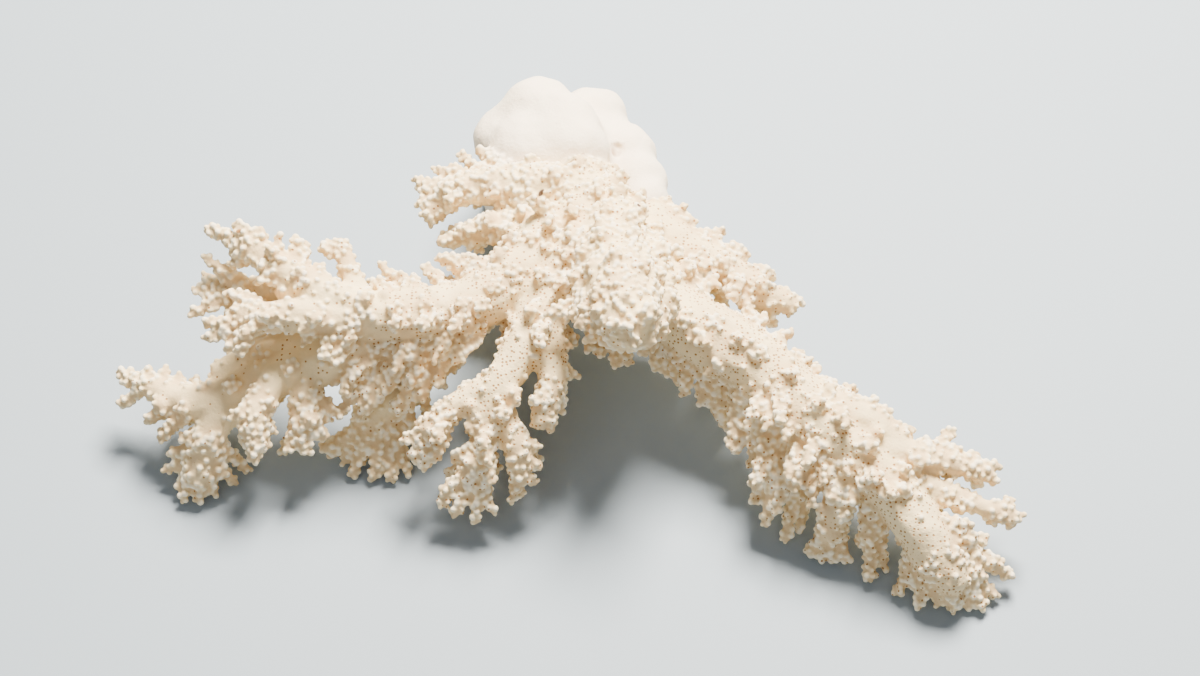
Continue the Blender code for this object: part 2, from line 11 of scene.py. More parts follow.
import bmesh
import bpy
import numpy as np
from bpy.props import FloatProperty, FloatVectorProperty, IntProperty, PointerProperty
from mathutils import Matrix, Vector

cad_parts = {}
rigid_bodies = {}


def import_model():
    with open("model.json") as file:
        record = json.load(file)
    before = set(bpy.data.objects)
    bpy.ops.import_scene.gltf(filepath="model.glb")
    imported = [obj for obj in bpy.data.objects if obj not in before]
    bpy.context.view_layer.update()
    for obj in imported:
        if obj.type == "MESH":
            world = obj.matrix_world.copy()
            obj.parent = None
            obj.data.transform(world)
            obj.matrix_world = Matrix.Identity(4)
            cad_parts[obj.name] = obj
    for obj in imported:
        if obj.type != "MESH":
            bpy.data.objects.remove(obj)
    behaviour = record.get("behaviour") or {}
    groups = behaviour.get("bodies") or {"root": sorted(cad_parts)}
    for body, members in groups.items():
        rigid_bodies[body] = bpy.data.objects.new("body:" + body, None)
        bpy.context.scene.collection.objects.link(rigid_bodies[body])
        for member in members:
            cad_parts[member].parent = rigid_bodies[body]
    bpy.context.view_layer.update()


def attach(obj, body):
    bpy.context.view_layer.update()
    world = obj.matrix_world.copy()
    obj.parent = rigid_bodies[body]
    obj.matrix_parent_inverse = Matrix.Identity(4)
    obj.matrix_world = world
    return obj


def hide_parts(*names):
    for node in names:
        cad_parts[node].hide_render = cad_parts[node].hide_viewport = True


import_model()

bl_info = {
    "name": "Branching coral",
    "version": (1, 0, 0),
    "blender": (4, 5, 0),
    "location": "3D View > Sidebar > Coral",
    "description": "Grows a bleached branching coral with its knobs and pores over its packed solids",
    "category": "Add Mesh",
}

MM = 0.001

# The survey: every point of the coral is read as (across, up, height) in millimetres. Across and up lie in a
# plane square to the line of sight, and height is above the floor.
SIGHT_ELEVATION = math.radians(55)
SIGHT_DISTANCE = 750
AIM_HEIGHT = 40
CUT_MIDDLE_SEEN = (-12, 52)
FRAME_WIDTH_SEEN = 480
SENSOR_WIDTH = 36

# Branchlets: their lengths and radii in millimetres, and the rest as shares
TIP_RADIUS = 2.8
ROOT_RADIUS = 3.4
ROOT_RADIUS_PER_LENGTH = 0.06
MOST_ROOT_RADIUS = 5.4
MOST_OF_PARENT = 0.9
GROWTH_SLANT = 0.55
FORKING_COST = 0.65
FORWARD = 0.35
BOW = 0.06
STEP = 3.0
WILD_SPACING = 9.5
WILD_LENGTH = (6, 11)
WILD_SLANT = 0.6
SEEN_FACING = -0.1
WILD_CLEARANCE = 2.2
SEED = 11

# The core: tubes and lobes that are melted together, worn a little and given soft lumps
TUBE_SIDES = 10
ROUND_END_TURNS = [math.radians(turn) for turn in (27, 54, 81)]
LOBE_SEGMENTS = 24
LOBE_RINGS = 16
HOLDFAST_VOXEL = 1.3 * MM
HOLDFAST_SOFTENING = 75
CORE_SOFTENING = 4
SOFTENING_STRENGTH = 0.5
LUMP_SIZE = 11 * MM
LUMP_RISE = 2.4 * MM

# Knobs and warts
KNOB_MARGIN = 0.8 * MM
KNOBS_PER_SQUARE = 1.6
KNOB_SIDES = 10
KNOB_RINGS = 6
KNOB_LIFT = 0.15
LEAST_KNOB = 0.75
MOST_KNOB = 1.2
WART_SHOWS = (1.4 * MM, 2.2 * MM)

# The skin over core and knobs, and what it carries at each point for its finish
SKIN_SOFTENING = 1
GRAIN_SIZE = 1.3 * MM
GRAIN_RISE = 0.28 * MM
BLUR_TURNS = 10
BORDER_TURNS = 12
READINGS = ("rise", "bare", "pores", "wear")

# The finish: patterns by the metre, and each fade as (start, end, share at the start, share at the end). One
# fade is painted shade in the hollows between the knobs.
PATCHES = {"Scale": 45, "Detail": 3}
GRAINS = {"Scale": 1000, "Detail": 3}
PORE_CELLS = {"Scale": 600, "Randomness": 0.6}
PATCH_FADE = (0.4, 0.65, 0.0, 0.4)
# Painted shade: the low skin between the knobs is darkened to the warm hollow colour, strongest at the core and
# gone halfway up a knob.
PAINTED_HOLLOW_SHADE_FADE = (0.0, 0.5, 0.85, 0.0)
BARE_FADE = (0.3, 1.0, 0.0, 0.9)
CHALK_FADE = (0.45, 0.9, 0.0, 0.9)
OPEN_PORE_FADE = (0.1, 0.7, 0.3, 1.0)
PORE_RIM_FADE = (0.20, 0.32, 1.0, 0.0)
ROUGHNESS_FADE = (0.3, 0.7, 0.78, 0.95)
GRAIN_IN_BUMP = 0.5
BUMP = {"Strength": 0.7, "Distance": 0.6 * MM}
CORAL_SHADER = {
    "Subsurface Weight": 0.05,
    "Subsurface Radius": (1.0, 0.7, 0.45),
    "Subsurface Scale": 0.6 * MM,
    "Specular IOR Level": 0.25,
}
# Where a mark's colour starts and ends to fade, in widths of the mark
MARK_EDGE = (0.5, 1.2)

# The stage, in metres
FLOOR_CLOUDS = {"Scale": 3, "Detail": 2}
FLOOR_SHADE = 0.97
FLOOR_ROUGHNESS = 0.7
KEY_PLACE = Vector((0.2, 0.5, 1.05))
KEY_SIZE = 0.45
KEY_COLOR = (1.0, 0.92, 0.80)
FILL_PLACE = Vector((-0.2, -0.8, 0.9))
FILL_SIZE = 1.2
FILL_COLOR = (1.0, 0.98, 0.95)
SKY_COLOR = (0.97, 0.98, 1.0, 1)

# The holdfast's lobes: spheres of (across, up, height, radius)
HOLDFAST_LOBES = [
    (-25, 89, 50, 17.5), (-38, 79, 44, 14.5), (-16, 82, 52, 18.5), (-12, 74, 54, 17.5), (-28, 72, 50, 19),
    (-4, 87, 34, 15.5), (1, 90, 32, 11.5), (10, 73, 36, 14.5), (16, 62, 37, 13), (18, 53, 38, 11.5),
    (-22, 70, 26, 26), (0, 66, 24, 26), (-26, 58, 8, 24), (-12, 54, 6, 25), (2, 54, 8, 24),
]

# Each limb is a list of (across, up, height, radius) from its root, and each tip the (across, up, height)
# that one branchlet reaches.
CORAL = {
    "trunk": {
        "limbs": [
            [(-10, 68, 40, 15), (-7, 56, 53, 17), (-4, 44, 57, 18), (-8, 31, 58, 16), (-16, 22, 56, 13)],
            [(-8, 48, 55, 15), (-20, 39, 56, 14), (-31, 30, 56, 13)],
            [(0, 46, 56, 16), (12, 33, 54, 16), (24, 20, 52, 14)],
            [(6, 26, 50, 14), (6, 8, 45, 9)],
        ],
        "tips": [
            (-12, 42, 77), (-14, 33, 75), (-9, 37, 77), (-18, 20, 71), (-13, 52, 80), (-22, 47, 76),
            (-29, 57, 78), (0, 60, 79), (-15, 67, 74), (3, 71, 70), (11, 66, 70), (20, 60, 66), (30, 55, 56),
            (29, 50, 52), (-38, 36, 66), (-28, 40, 72), (-36, 24, 68), (-27, 25, 70), (-6, -6, 40),
            (-1, -9, 37), (7, -13, 33), (13, -13, 33), (19, -8, 38), (2, -4, 30),
        ],
    },
    "front_stub": {
        "limbs": [
            [(4, 44, 62, 15), (6, 30, 69, 15.5), (9, 16, 76, 15.5), (11, 8, 78, 13)],
            [(2, 34, 65, 11.5), (-1, 20, 70, 10.5), (-3, 10, 71, 7)],
            [(12, 34, 64, 12), (19, 22, 68, 11), (25, 14, 70, 7)],
            [(12, 16, 72, 10), (20, 8, 71, 8), (24, 4, 69, 5)],
        ],
        "tips": [
            (-13, 24, 78), (-11, 29, 77), (-9, 11, 80), (-10, 4, 76), (-4, 1, 77), (31, 18, 74), (28, 10, 73),
            (26, 2, 70), (20, -3, 70), (13, 3, 88), (4, 4, 88), (9, -5, 72), (1, -4, 72), (26, 27, 72),
            (6, 22, 92), (16, 20, 90), (-4, 18, 88), (24, 6, 80), (14, 33, 86), (2, 36, 84), (14, -6, 66),
        ],
    },
    "crown_tuft": {
        "limbs": [
            [(-16, 58, 60, 13), (-34, 60, 60, 10), (-48, 60, 58, 8), (-60, 58, 56, 5.5)],
            [(-20, 46, 56, 10), (-40, 45, 54, 7), (-54, 42, 51, 5)],
        ],
        "tips": [
            (-76, 64, 53), (-74, 59, 51), (-75, 53, 49), (-73, 48, 48), (-68, 69, 56), (-61, 70, 58),
            (-57, 75, 56), (-51, 77, 56), (-70, 44, 44), (-66, 40, 42), (-67, 38, 49), (-63, 35, 45),
            (-55, 44, 58), (-52, 34, 46), (-58, 62, 65), (-46, 57, 67), (-45, 66, 67), (-38, 70, 66),
            (-34, 52, 68), (-66, 62, 62), (-62, 54, 62), (-44, 36, 52), (-30, 66, 72), (-60, 60, 44),
            (-50, 52, 44), (-42, 44, 62),
        ],
    },
    "left_limb": {
        "limbs": [
            [(-26, 28, 56, 14), (-42, 18, 56, 12.5), (-60, 11, 56, 11.5), (-78, 9, 57, 11.5), (-92, 8, 57, 10)],
        ],
        "tips": [
            (-71, 31, 60), (-67, 34, 62), (-62, 34, 62), (-57, 34, 63), (-52, 33, 64), (-76, 26, 62),
            (-82, 28, 62), (-89, 31, 61), (-90, 25, 62), (-46, 30, 66), (-103, -25, 35), (-97, -29, 31),
            (-94, -31, 30), (-99, -34, 24), (-87, -24, 36), (-83, -15, 48), (-75, -11, 50), (-76, -20, 42),
            (-83, -31, 28), (-77, -30, 26), (-68, -12, 50), (-73, -26, 34), (-66, -20, 40), (-64, -4, 54),
            (-57, -12, 48), (-53, -8, 50), (-50, -1, 54), (-85, 13, 71), (-72, 15, 70), (-57, 13, 70),
            (-73, 5, 70), (-45, 21, 71), (-60, 3, 68), (-84, 5, 70), (-106, -33, 30), (-101, -19, 42),
        ],
    },
    "left_under_fan": {
        "limbs": [
            [(-60, 4, 44, 10), (-73, -12, 32, 9.5), (-86, -28, 20, 8), (-95, -40, 12, 6)],
        ],
        "tips": [
            (-110, -49, 6), (-113, -45, 10), (-104, -52, 3), (-100, -57, 1.6), (-91, -59, 1.4), (-83, -59, 1.4),
            (-76, -56, 1.8), (-79, -50, 6), (-97, -46, 12), (-88, -48, 10), (-105, -40, 14), (-62, -22, 22),
            (-68, -34, 14), (-56, -12, 28), (-72, -44, 8), (-96, -30, 22),
        ],
    },
    "left_upper_fan": {
        "limbs": [
            [(-90, 9, 58, 10.5), (-105, 14, 63, 9), (-122, 24, 68, 7.5), (-140, 37, 73, 5.5)],
            [(-98, 8, 60, 9), (-122, 9, 64, 7.5), (-142, 9, 64, 5.5)],
            [(-95, 10, 60, 7), (-99, 24, 64, 5), (-104, 37, 67, 3.8)],
            [(-112, 14, 58, 7), (-132, 19, 54, 6), (-150, 18, 52, 5)],
        ],
        "tips": [
            (-158, 45, 74), (-147, 48, 79), (-143, 46, 80), (-136, 47, 80), (-128, 43, 78), (-122, 43, 76),
            (-118, 41, 72), (-113, 37, 68), (-160, 34, 67), (-156, 31, 66), (-150, 29, 66), (-133, 37, 82),
            (-139, 23, 72), (-138, 29, 76), (-122, 28, 78), (-152, 20, 66), (-161, 6, 62), (-160, -1, 58),
            (-151, -5, 56), (-146, -7, 59), (-144, 0, 66), (-136, 9, 73), (-150, 12, 66), (-116, 8, 74),
            (-107, -13, 52), (-112, -9, 56), (-120, -5, 57), (-100, -2, 62), (-166, 19, 52), (-161, 26, 54),
            (-166, 9, 50), (-160, 15, 50), (-156, 22, 56), (-110, 39, 66), (-104, 41, 67), (-99, 37, 65),
            (-96, 29, 62), (-120, 32, 60), (-132, 4, 54), (-140, 24, 44), (-150, 6, 48), (-150, 36, 70),
            (-112, 32, 70), (-111, 24, 68), (-144, 33, 74),
        ],
    },
    "left_lower_limb": {
        "limbs": [
            [
                (-88, 4, 50, 10.5), (-108, -8, 42, 11), (-130, -15, 37, 10), (-148, -22, 32, 9),
                (-163, -26, 29, 7.5), (-178, -20, 27, 5.5), (-189, -16, 26, 4),
            ],
            [(-94, 1, 48, 10), (-118, -2, 43, 8.5), (-136, -7, 38, 7.5), (-150, -14, 34, 6.5)],
            [(-148, -24, 31, 8), (-156, -40, 22, 7), (-160, -54, 12, 6)],
            [(-112, -8, 42, 8), (-118, -22, 37, 6.5), (-119, -34, 31, 5.5)],
            [(-130, -16, 40, 8), (-138, -30, 38, 6.5), (-138, -40, 33, 5)],
        ],
        "tips": [
            (-194, -12, 26), (-193, -27, 21), (-188, -11, 29), (-181, -10, 31), (-174, -10, 31),
            (-168, -13, 30), (-157, -13, 34), (-150, -11, 37), (-160, -18, 38), (-183, -34, 20),
            (-178, -33, 18), (-178, -42, 17), (-174, -46, 14), (-176, -54, 8), (-170, -53, 8), (-170, -62, 3),
            (-168, -67, 1.5), (-161, -67, 1.4), (-153, -64, 2), (-156, -60, 8), (-149, -56, 10),
            (-144, -60, 1.5), (-139, -54, 2.5), (-163, -44, 26), (-155, -44, 26), (-150, -48, 16),
            (-170, -40, 24), (-145, -38, 38), (-143, -44, 26), (-138, -51, 27), (-133, -46, 26),
            (-129, -39, 28), (-149, -32, 42), (-131, -28, 44), (-125, -47, 24), (-117, -48, 24),
            (-112, -41, 26), (-108, -42, 25), (-113, -28, 38), (-106, -34, 26), (-106, -18, 38), (-128, -48, 6),
            (-135, -8, 44), (-142, -22, 46), (-104, -8, 50), (-186, -22, 18), (-102, -24, 40), (-104, -30, 32),
        ],
    },
    "middle_branch": {
        "limbs": [
            [
                (-18, 24, 56, 12), (-25, 8, 54, 10), (-33, -8, 50, 8.5), (-41, -21, 45, 8), (-46, -34, 38, 6.5),
                (-46, -48, 30, 5), (-48, -60, 21, 4),
            ],
            [(-42, -20, 45, 7), (-57, -27, 42, 6), (-68, -36, 38, 5)],
            [(-22, 8, 52, 8), (-20, -6, 49, 7), (-20, -20, 45, 6), (-24, -33, 39, 5)],
            [(-40, -28, 41, 6.5), (-34, -42, 34, 6), (-32, -55, 25, 4.5)],
        ],
        "tips": [
            (-37, 11, 55), (-42, -3, 50), (-49, -13, 46), (-56, -17, 46), (-76, -34, 36), (-81, -42, 33),
            (-76, -50, 27), (-71, -54, 24), (-66, -50, 28), (-61, -49, 27), (-62, -55, 12), (-56, -38, 40),
            (-52, -35, 40), (-64, -62, 20), (-65, -69, 14), (-60, -74, 11), (-50, -76, 10), (-42, -72, 12),
            (-36, -68, 14), (-35, -62, 20), (-31, -65, 10), (-25, -60, 19), (-21, -53, 25), (-26, -49, 31),
            (-22, -44, 32), (-18, -40, 34), (-15, -31, 35), (-13, -22, 38), (-14, -27, 36), (-21, -26, 46),
            (-28, -26, 50), (-12, -10, 46), (-17, -15, 45), (-10, -5, 46), (-15, 4, 50), (-8, -3, 40),
            (-24, -3, 67), (-45, -52, 37), (-54, -52, 31), (-38, -31, 50), (-41, -60, 26), (-47, -44, 44),
            (-29, 10, 68), (-36, -48, 18), (-50, -28, 30), (-66, -42, 44),
        ],
    },
    "right_spur": {
        "limbs": [
            [(20, 44, 52, 12), (36, 33, 52, 10), (50, 26, 50, 9), (64, 18, 48, 7), (75, 14, 46, 5)],
        ],
        "tips": [
            (83, 14, 44), (76, 20, 47), (77, 8, 41), (68, 7, 42), (61, 8, 50), (70, 28, 50), (66, 29, 52),
            (61, 35, 52), (57, 38, 54), (50, 41, 55), (43, 43, 56), (40, 48, 57), (34, 50, 58), (42, 34, 62),
            (43, 17, 57), (38, 21, 58), (47, 20, 60), (58, 20, 60), (54, 15, 58), (68, 22, 58), (52, 30, 62),
            (44, 28, 62), (60, 24, 40), (48, 34, 40),
        ],
    },
    "right_limb": {
        "limbs": [
            [
                (22, 16, 50, 14), (36, 5, 49, 13.5), (52, -4, 47, 13.5), (66, -13, 44, 13), (79, -25, 42, 13),
                (91, -37, 40, 12), (104, -47, 37, 11),
            ],
        ],
        "tips": [
            (79, 3, 48), (82, -5, 46), (87, -8, 44), (90, -12, 44), (96, -17, 44), (99, -21, 44), (22, -15, 27),
            (27, -16, 25), (31, -20, 27), (36, -14, 34), (30, -12, 40), (34, -25, 30), (41, -28, 27),
            (46, -28, 21), (48, -12, 52), (51, -20, 40), (55, -27, 38), (46, -34, 22), (50, -38, 18),
            (57, -38, 32), (52, -46, 23), (55, -48, 20), (60, -47, 28), (65, -47, 34), (59, -54, 18),
            (69, -51, 22), (74, -43, 46), (64, -58, 26), (75, -57, 36), (77, -63, 30), (83, -53, 44),
            (89, -61, 36), (61, -68, 14), (66, -78, 9), (74, -83, 4), (70, -72, 18), (80, -80, 2),
            (72, -62, 20), (79, -14, 60), (57, -1, 62), (66, -6, 60), (90, -26, 58), (60, -33, 46),
            (66, -37, 46), (44, -3, 62), (34, 7, 62), (48, 7, 62), (72, -34, 56), (50, 13, 52), (58, 9, 50),
            (66, 4, 50), (82, -62, 34), (84, -70, 26), (61, -62, 26),
        ],
    },
    "right_finger_bunch": {
        "limbs": [
            [(98, -46, 36, 9), (96, -62, 28, 7.5), (92, -76, 17, 6)],
            [(106, -50, 34, 8), (109, -66, 27, 5.5), (107, -78, 19, 4.5)],
        ],
        "tips": [
            (86, -78, 18), (83, -87, 1.6), (88, -90, 1.5), (94, -91, 1.5), (100, -92, 1.5), (86, -70, 26),
            (95, -80, 18), (100, -72, 28), (103, -68, 32), (98, -55, 44), (106, -60, 42), (108, -88, 12),
            (115, -80, 17), (108, -98, 1.6), (114, -94, 2), (102, -84, 6), (92, -66, 34),
        ],
    },
    "right_limb_end": {
        "limbs": [
            [
                (104, -48, 36, 11), (116, -60, 32, 10.5), (126, -73, 27, 10.5), (134, -86, 21, 10),
                (140, -96, 15, 7.5),
            ],
        ],
        "tips": [
            (157, -81, 18), (152, -80, 24), (156, -86, 14), (168, -97, 6), (162, -90, 12), (156, -96, 12),
            (160, -104, 2.5), (155, -109, 1.5), (148, -109, 1.5), (142, -111, 1.5), (135, -109, 1.5),
            (127, -110, 1.6), (124, -100, 6), (118, -104, 1.6), (121, -92, 8), (132, -96, 20), (142, -96, 20),
            (150, -100, 10), (151, -75, 27), (118, -64, 46), (124, -62, 44), (130, -104, 6), (120, -84, 12),
            (146, -88, 26), (112, -57, 48),
        ],
    },
    "right_upper_fingers": {
        "limbs": [
            [(104, -40, 40, 8), (122, -46, 38, 6.5), (140, -50, 35, 5), (154, -54, 32, 4)],
            [(118, -54, 34, 7), (137, -62, 29, 5), (154, -68, 25, 4.5), (164, -71, 22, 4)],
            [(90, -27, 44, 9), (106, -34, 43, 8), (118, -41, 40, 6.5)],
        ],
        "tips": [
            (153, -44, 35), (150, -46, 36), (161, -51, 31), (160, -59, 28), (148, -58, 31), (145, -43, 36),
            (139, -42, 38), (133, -39, 40), (127, -36, 42), (121, -33, 44), (117, -28, 47), (112, -23, 48),
            (104, -22, 50), (166, -63, 24), (171, -71, 20), (167, -77, 17), (157, -76, 18), (152, -61, 28),
            (124, -52, 46), (132, -50, 44), (100, -36, 58), (110, -44, 52), (133, -58, 34), (145, -62, 22),
            (146, -71, 28), (140, -68, 30),
        ],
    },
}
# Nodes whose wild branchlets are fewer, because their limbs are bare or crowded
FEW_WILD = {"trunk": 0.5, "front_stub": 0.7}

PARTS = ["holdfast", *CORAL]
LOOSE = -1

# How much of a part's bare skin carries stray knobs and warts, and how many of its pores are open
STRAY_KNOBS = {
    "trunk": 0.35, "front_stub": 0.7, "crown_tuft": 0.8, "left_upper_fan": 0.4, "left_lower_limb": 0.15,
    "left_under_fan": 0.2,
}
FEW_STRAY_KNOBS = 0.08
WARTS = {
    "trunk": 1, "front_stub": 1, "crown_tuft": 0.7, "left_limb": 0.6, "right_limb": 0.55,
    "middle_branch": 0.4, "left_lower_limb": 0.35, "left_upper_fan": 0.5, "right_limb_end": 0.15,
}
FEW_WARTS = 0.3
OPEN_PORES = {
    "trunk": 0.8, "left_limb": 1, "middle_branch": 1, "right_limb": 1, "right_limb_end": 1, "right_spur": 0.7,
    "right_finger_bunch": 0.6, "front_stub": 0.3,
}
FEW_OPEN_PORES = 0.15

# Marks on the coral, each from one end to the other as (across, up), with its width in millimetres, how deep
# it is pushed in, and its colour
MARKS = [
    ((-145.2, 42.6), (-143.8, 43.0), 0.8, 0, (0.42, 0.20, 0.07)),
    ((-24.3, 57.0), (-22.6, 59.2), 0.7, 0, (0.10, 0.06, 0.04)),
    ((15.1, 53.4), (16.1, 52.8), 0.6, 0, (0.12, 0.07, 0.05)),
    ((6.2, 73.6), (7.2, 76.4), 2.4, 2.5, (0.34, 0.22, 0.13)),
]


class CoralSettings(bpy.types.PropertyGroup):
    """The sizes and colours of the coral's surface."""

    twig_room: FloatProperty(
        name="Room on branchlets", description="How far a branchlet's core stays under its solid",
        default=0.95 * MM, unit="LENGTH")
    limb_room: FloatProperty(
        name="Room on limbs", description="How far a limb's core stays under its solid",
        default=0.7 * MM, unit="LENGTH")
    core_voxel: FloatProperty(
        name="Core detail", description="Grain of the core under the knobs", default=0.9 * MM, unit="LENGTH")
    skin_voxel: FloatProperty(
        name="Skin detail", description="Grain of the skin that knobs and core are melted into",
        default=0.52 * MM, unit="LENGTH")
    skin_faces: IntProperty(
        name="Skin faces", description="Triangles in the whole skin", default=930_000)
    knob_radius: FloatProperty(
        name="Knob radius", description="Radius of a knob", default=1.3 * MM, unit="LENGTH")
    knob_height: FloatProperty(
        name="Knob height", description="How far a knob stands out of the core",
        default=1.55 * MM, unit="LENGTH")
    knob_spacing: FloatProperty(
        name="Knob spacing", description="Least distance between two knobs", default=2.05 * MM, unit="LENGTH")
    knob_slant: FloatProperty(
        name="Knob slant", description="How far knobs lean the way their branchlet grows", default=0.45)
    knob_reach: FloatProperty(
        name="Knob reach", description="How far from a branchlet knobs still stand close together on a limb",
        default=3 * MM, unit="LENGTH")
    wart_radius: FloatProperty(
        name="Wart radius", description="Radius of a wart, a knobby lump on a limb",
        default=3.3 * MM, unit="LENGTH")
    wart_height: FloatProperty(
        name="Wart height", description="How far a wart stands out of its limb",
        default=3.6 * MM, unit="LENGTH")
    wart_spacing: FloatProperty(
        name="Wart spacing", description="Least distance between two warts", default=8 * MM, unit="LENGTH")
    cream: FloatVectorProperty(
        name="Cream", description="Colour of the skeleton", default=(0.89, 0.72, 0.42), subtype="COLOR")
    chalk: FloatVectorProperty(
        name="Chalk", description="Colour of the knobs' worn ends", default=(0.93, 0.83, 0.63),
        subtype="COLOR")
    # The warm colour of random patches on the skeleton, and also the painted shade in the hollows between the
    # knobs.
    peach_and_hollow_shade: FloatVectorProperty(
        name="Peach", description="Colour of the hollows between the knobs", default=(0.66, 0.46, 0.25),
        subtype="COLOR")
    pore: FloatVectorProperty(
        name="Pore", description="Colour inside the pores", default=(0.42, 0.20, 0.07), subtype="COLOR")
    worn: FloatVectorProperty(
        name="Worn holdfast", description="Colour of the smooth holdfast", default=(0.88, 0.76, 0.60),
        subtype="COLOR")


class StageSettings(bpy.types.PropertyGroup):
    """The floor and the lights."""

    floor_color: FloatVectorProperty(
        name="Floor", description="Colour of the floor", default=(0.30, 0.36, 0.42), subtype="COLOR")
    floor_size: FloatProperty(
        name="Floor size", description="Side of the floor", default=6, unit="LENGTH")
    key_power: FloatProperty(
        name="Key light", description="Power of the light above the back", default=112, unit="POWER")
    fill_power: FloatProperty(
        name="Fill light", description="Power of the light at the front", default=4, unit="POWER")
    sky: FloatProperty(
        name="Sky", description="Strength of the light from all round", default=0.19)


def line_of_sight():
    """The eye and the picture plane's middle, with its across and up directions, in millimetres."""
    back = Vector((0, -math.cos(SIGHT_ELEVATION), math.sin(SIGHT_ELEVATION)))
    aim = Vector((0, 0, AIM_HEIGHT))
    rise = Vector((0, math.sin(SIGHT_ELEVATION), math.cos(SIGHT_ELEVATION)))
    return aim + back * SIGHT_DISTANCE, aim, Vector((1, 0, 0)), rise


def surveyed(across, up, height):
    """The point at this height that shows at (across, up), in millimetres from under the aim."""
    eye, aim, right, rise = line_of_sight()
    ray = aim + right * across + rise * up - eye
    return eye + ray * ((height - eye.z) / ray.z)


def placed(across, up, height):
    """A surveyed point from the middle of the flat cut, in millimetres."""
    return surveyed(across, up, height) - surveyed(*CUT_MIDDLE_SEEN, 0)


def eye_and_aim():
    """The eye and the point that it looks at, from the middle of the flat cut, in millimetres."""
    middle = surveyed(*CUT_MIDDLE_SEEN, 0)
    eye, aim, _, _ = line_of_sight()
    return eye - middle, aim - middle


def smooth_path(points):
    """(place, radius) every few millimetres along a smooth curve through a limb's points."""
    knots = [(placed(across, up, height), radius) for across, up, height, radius in points]
    before = (knots[0][0] * 2 - knots[1][0], knots[0][1])
    beyond = (knots[-1][0] * 2 - knots[-2][0], knots[-1][1])
    ends = [before, *knots, beyond]
    path = []
    for (p0, _), (p1, r1), (p2, r2), (p3, _) in zip(ends, ends[1:], ends[2:], ends[3:]):
        count = max(2, round((p2 - p1).length / STEP))
        for i in range(count):
            t = i / count
            place = 0.5 * (
                2 * p1 + (p2 - p0) * t + (2 * p0 - 5 * p1 + 4 * p2 - p3) * t * t
                + (3 * p1 - p0 - 3 * p2 + p3) * t * t * t
            )
            path.append((place, r1 + (r2 - r1) * t))
    path.append(knots[-1])
    return path


class Joint:
    """One place along a tube, and how far it is from the limb that the tube grows from."""

    def __init__(self, place, radius, walked, heading, number):
        self.place, self.radius, self.walked = place, radius, walked
        self.heading, self.number = heading, number

    def cost(self, tip):
        """How far new growth has to go to reach tip from here. Growth never turns back on a branchlet."""
        reach = tip - self.place
        if self.walked and reach.dot(self.heading) < FORWARD * reach.length:
            return math.inf
        return reach.length - self.radius + FORKING_COST * self.walked


class Skeleton:
    """The centre lines of one node's limbs and branchlets."""

    def __init__(self, limbs):
        self.tubes = []
        self.joints = []
        for limb in limbs:
            self.add(smooth_path(limb))
        self.limb_count = len(self.tubes)

    def add(self, path, walked=None):
        """Adds a tube. A limb has no walked distance, and a branchlet starts with its root's."""
        for number, (place, radius) in enumerate(path):
            ahead = path[min(number + 1, len(path) - 1)][0] - path[max(number - 1, 0)][0]
            so_far = 0 if walked is None else walked + (place - path[0][0]).length
            self.joints.append(Joint(place, radius, so_far, ahead.normalized(), number))
        self.tubes.append(path)

    def root_for(self, tip):
        """The joint that a branchlet to tip leaves from. On a limb it slants forwards, as coral grows."""
        joint = min(self.joints, key=lambda joint: joint.cost(tip))
        if joint.walked:
            return joint
        back = min(joint.number, round((joint.place - tip).length * GROWTH_SLANT / STEP))
        return self.joints[self.joints.index(joint) - back]

    def grow(self, tip, rng):
        """Adds the branchlet that reaches tip along a slight bow."""
        root = self.root_for(tip)
        end = tip - (tip - root.place).normalized() * TIP_RADIUS
        length = (end - root.place).length
        by_length = ROOT_RADIUS + ROOT_RADIUS_PER_LENGTH * length
        thick = min(MOST_ROOT_RADIUS, root.radius * MOST_OF_PARENT, by_length)
        bow = Vector([rng.uniform(-1, 1) for _ in range(3)]) * BOW * length
        count = max(2, round(length / STEP))
        path = []
        for i in range(count + 1):
            t = i / count
            place = root.place.lerp(end, t) + bow * math.sin(math.pi * t)
            path.append((place, thick + (TIP_RADIUS - thick) * t))
        self.add(path, root.walked)


def wild_tips(skeleton, share, rng):
    """Tips for the sides of the limbs that the survey didn't see."""
    eye, _ = eye_and_aim()
    tips = []
    for path in skeleton.tubes[: skeleton.limb_count]:
        for (here, radius), (there, _) in zip(path[1::3], path[2::3]):
            along = (there - here).normalized()
            side = along.orthogonal().normalized()
            round_count = max(3, round(2 * math.pi * radius / WILD_SPACING))
            turn = rng.uniform(0, 2 * math.pi)
            for k in range(round_count):
                angle = turn + 2 * math.pi * k / round_count
                out = side * math.cos(angle) + along.cross(side) * math.sin(angle)
                length = rng.uniform(*WILD_LENGTH)
                seen = out.dot((eye - here).normalized()) > SEEN_FACING
                if rng.random() < share and not seen:
                    tips.append(here + out * (radius + length) + along * length * WILD_SLANT)
    return tips


def grown_coral():
    """Every node's skeleton, with its surveyed branchlets and then its wild ones."""
    rng = random.Random(SEED)
    skeletons = {name: Skeleton(node["limbs"]) for name, node in CORAL.items()}
    for name, skeleton in skeletons.items():
        tips = [placed(*tip) for tip in CORAL[name]["tips"]]
        reach = {id(tip): min(joint.cost(tip) for joint in skeleton.joints) for tip in tips}
        for tip in sorted(tips, key=lambda tip: reach[id(tip)]):
            skeleton.grow(tip, rng)
    lobes = [(placed(across, up, height), radius) for across, up, height, radius in HOLDFAST_LOBES]
    clearance = TIP_RADIUS + WILD_CLEARANCE
    for name, skeleton in skeletons.items():
        for tip in wild_tips(skeleton, FEW_WILD.get(name, 1), rng):
            grown = [(joint.place, joint.radius) for other in skeletons.values() for joint in other.joints]
            free = all((tip - place).length > radius + clearance for place, radius in grown + lobes)
            if free and tip.z > clearance:
                skeleton.grow(tip, rng)
    return skeletons


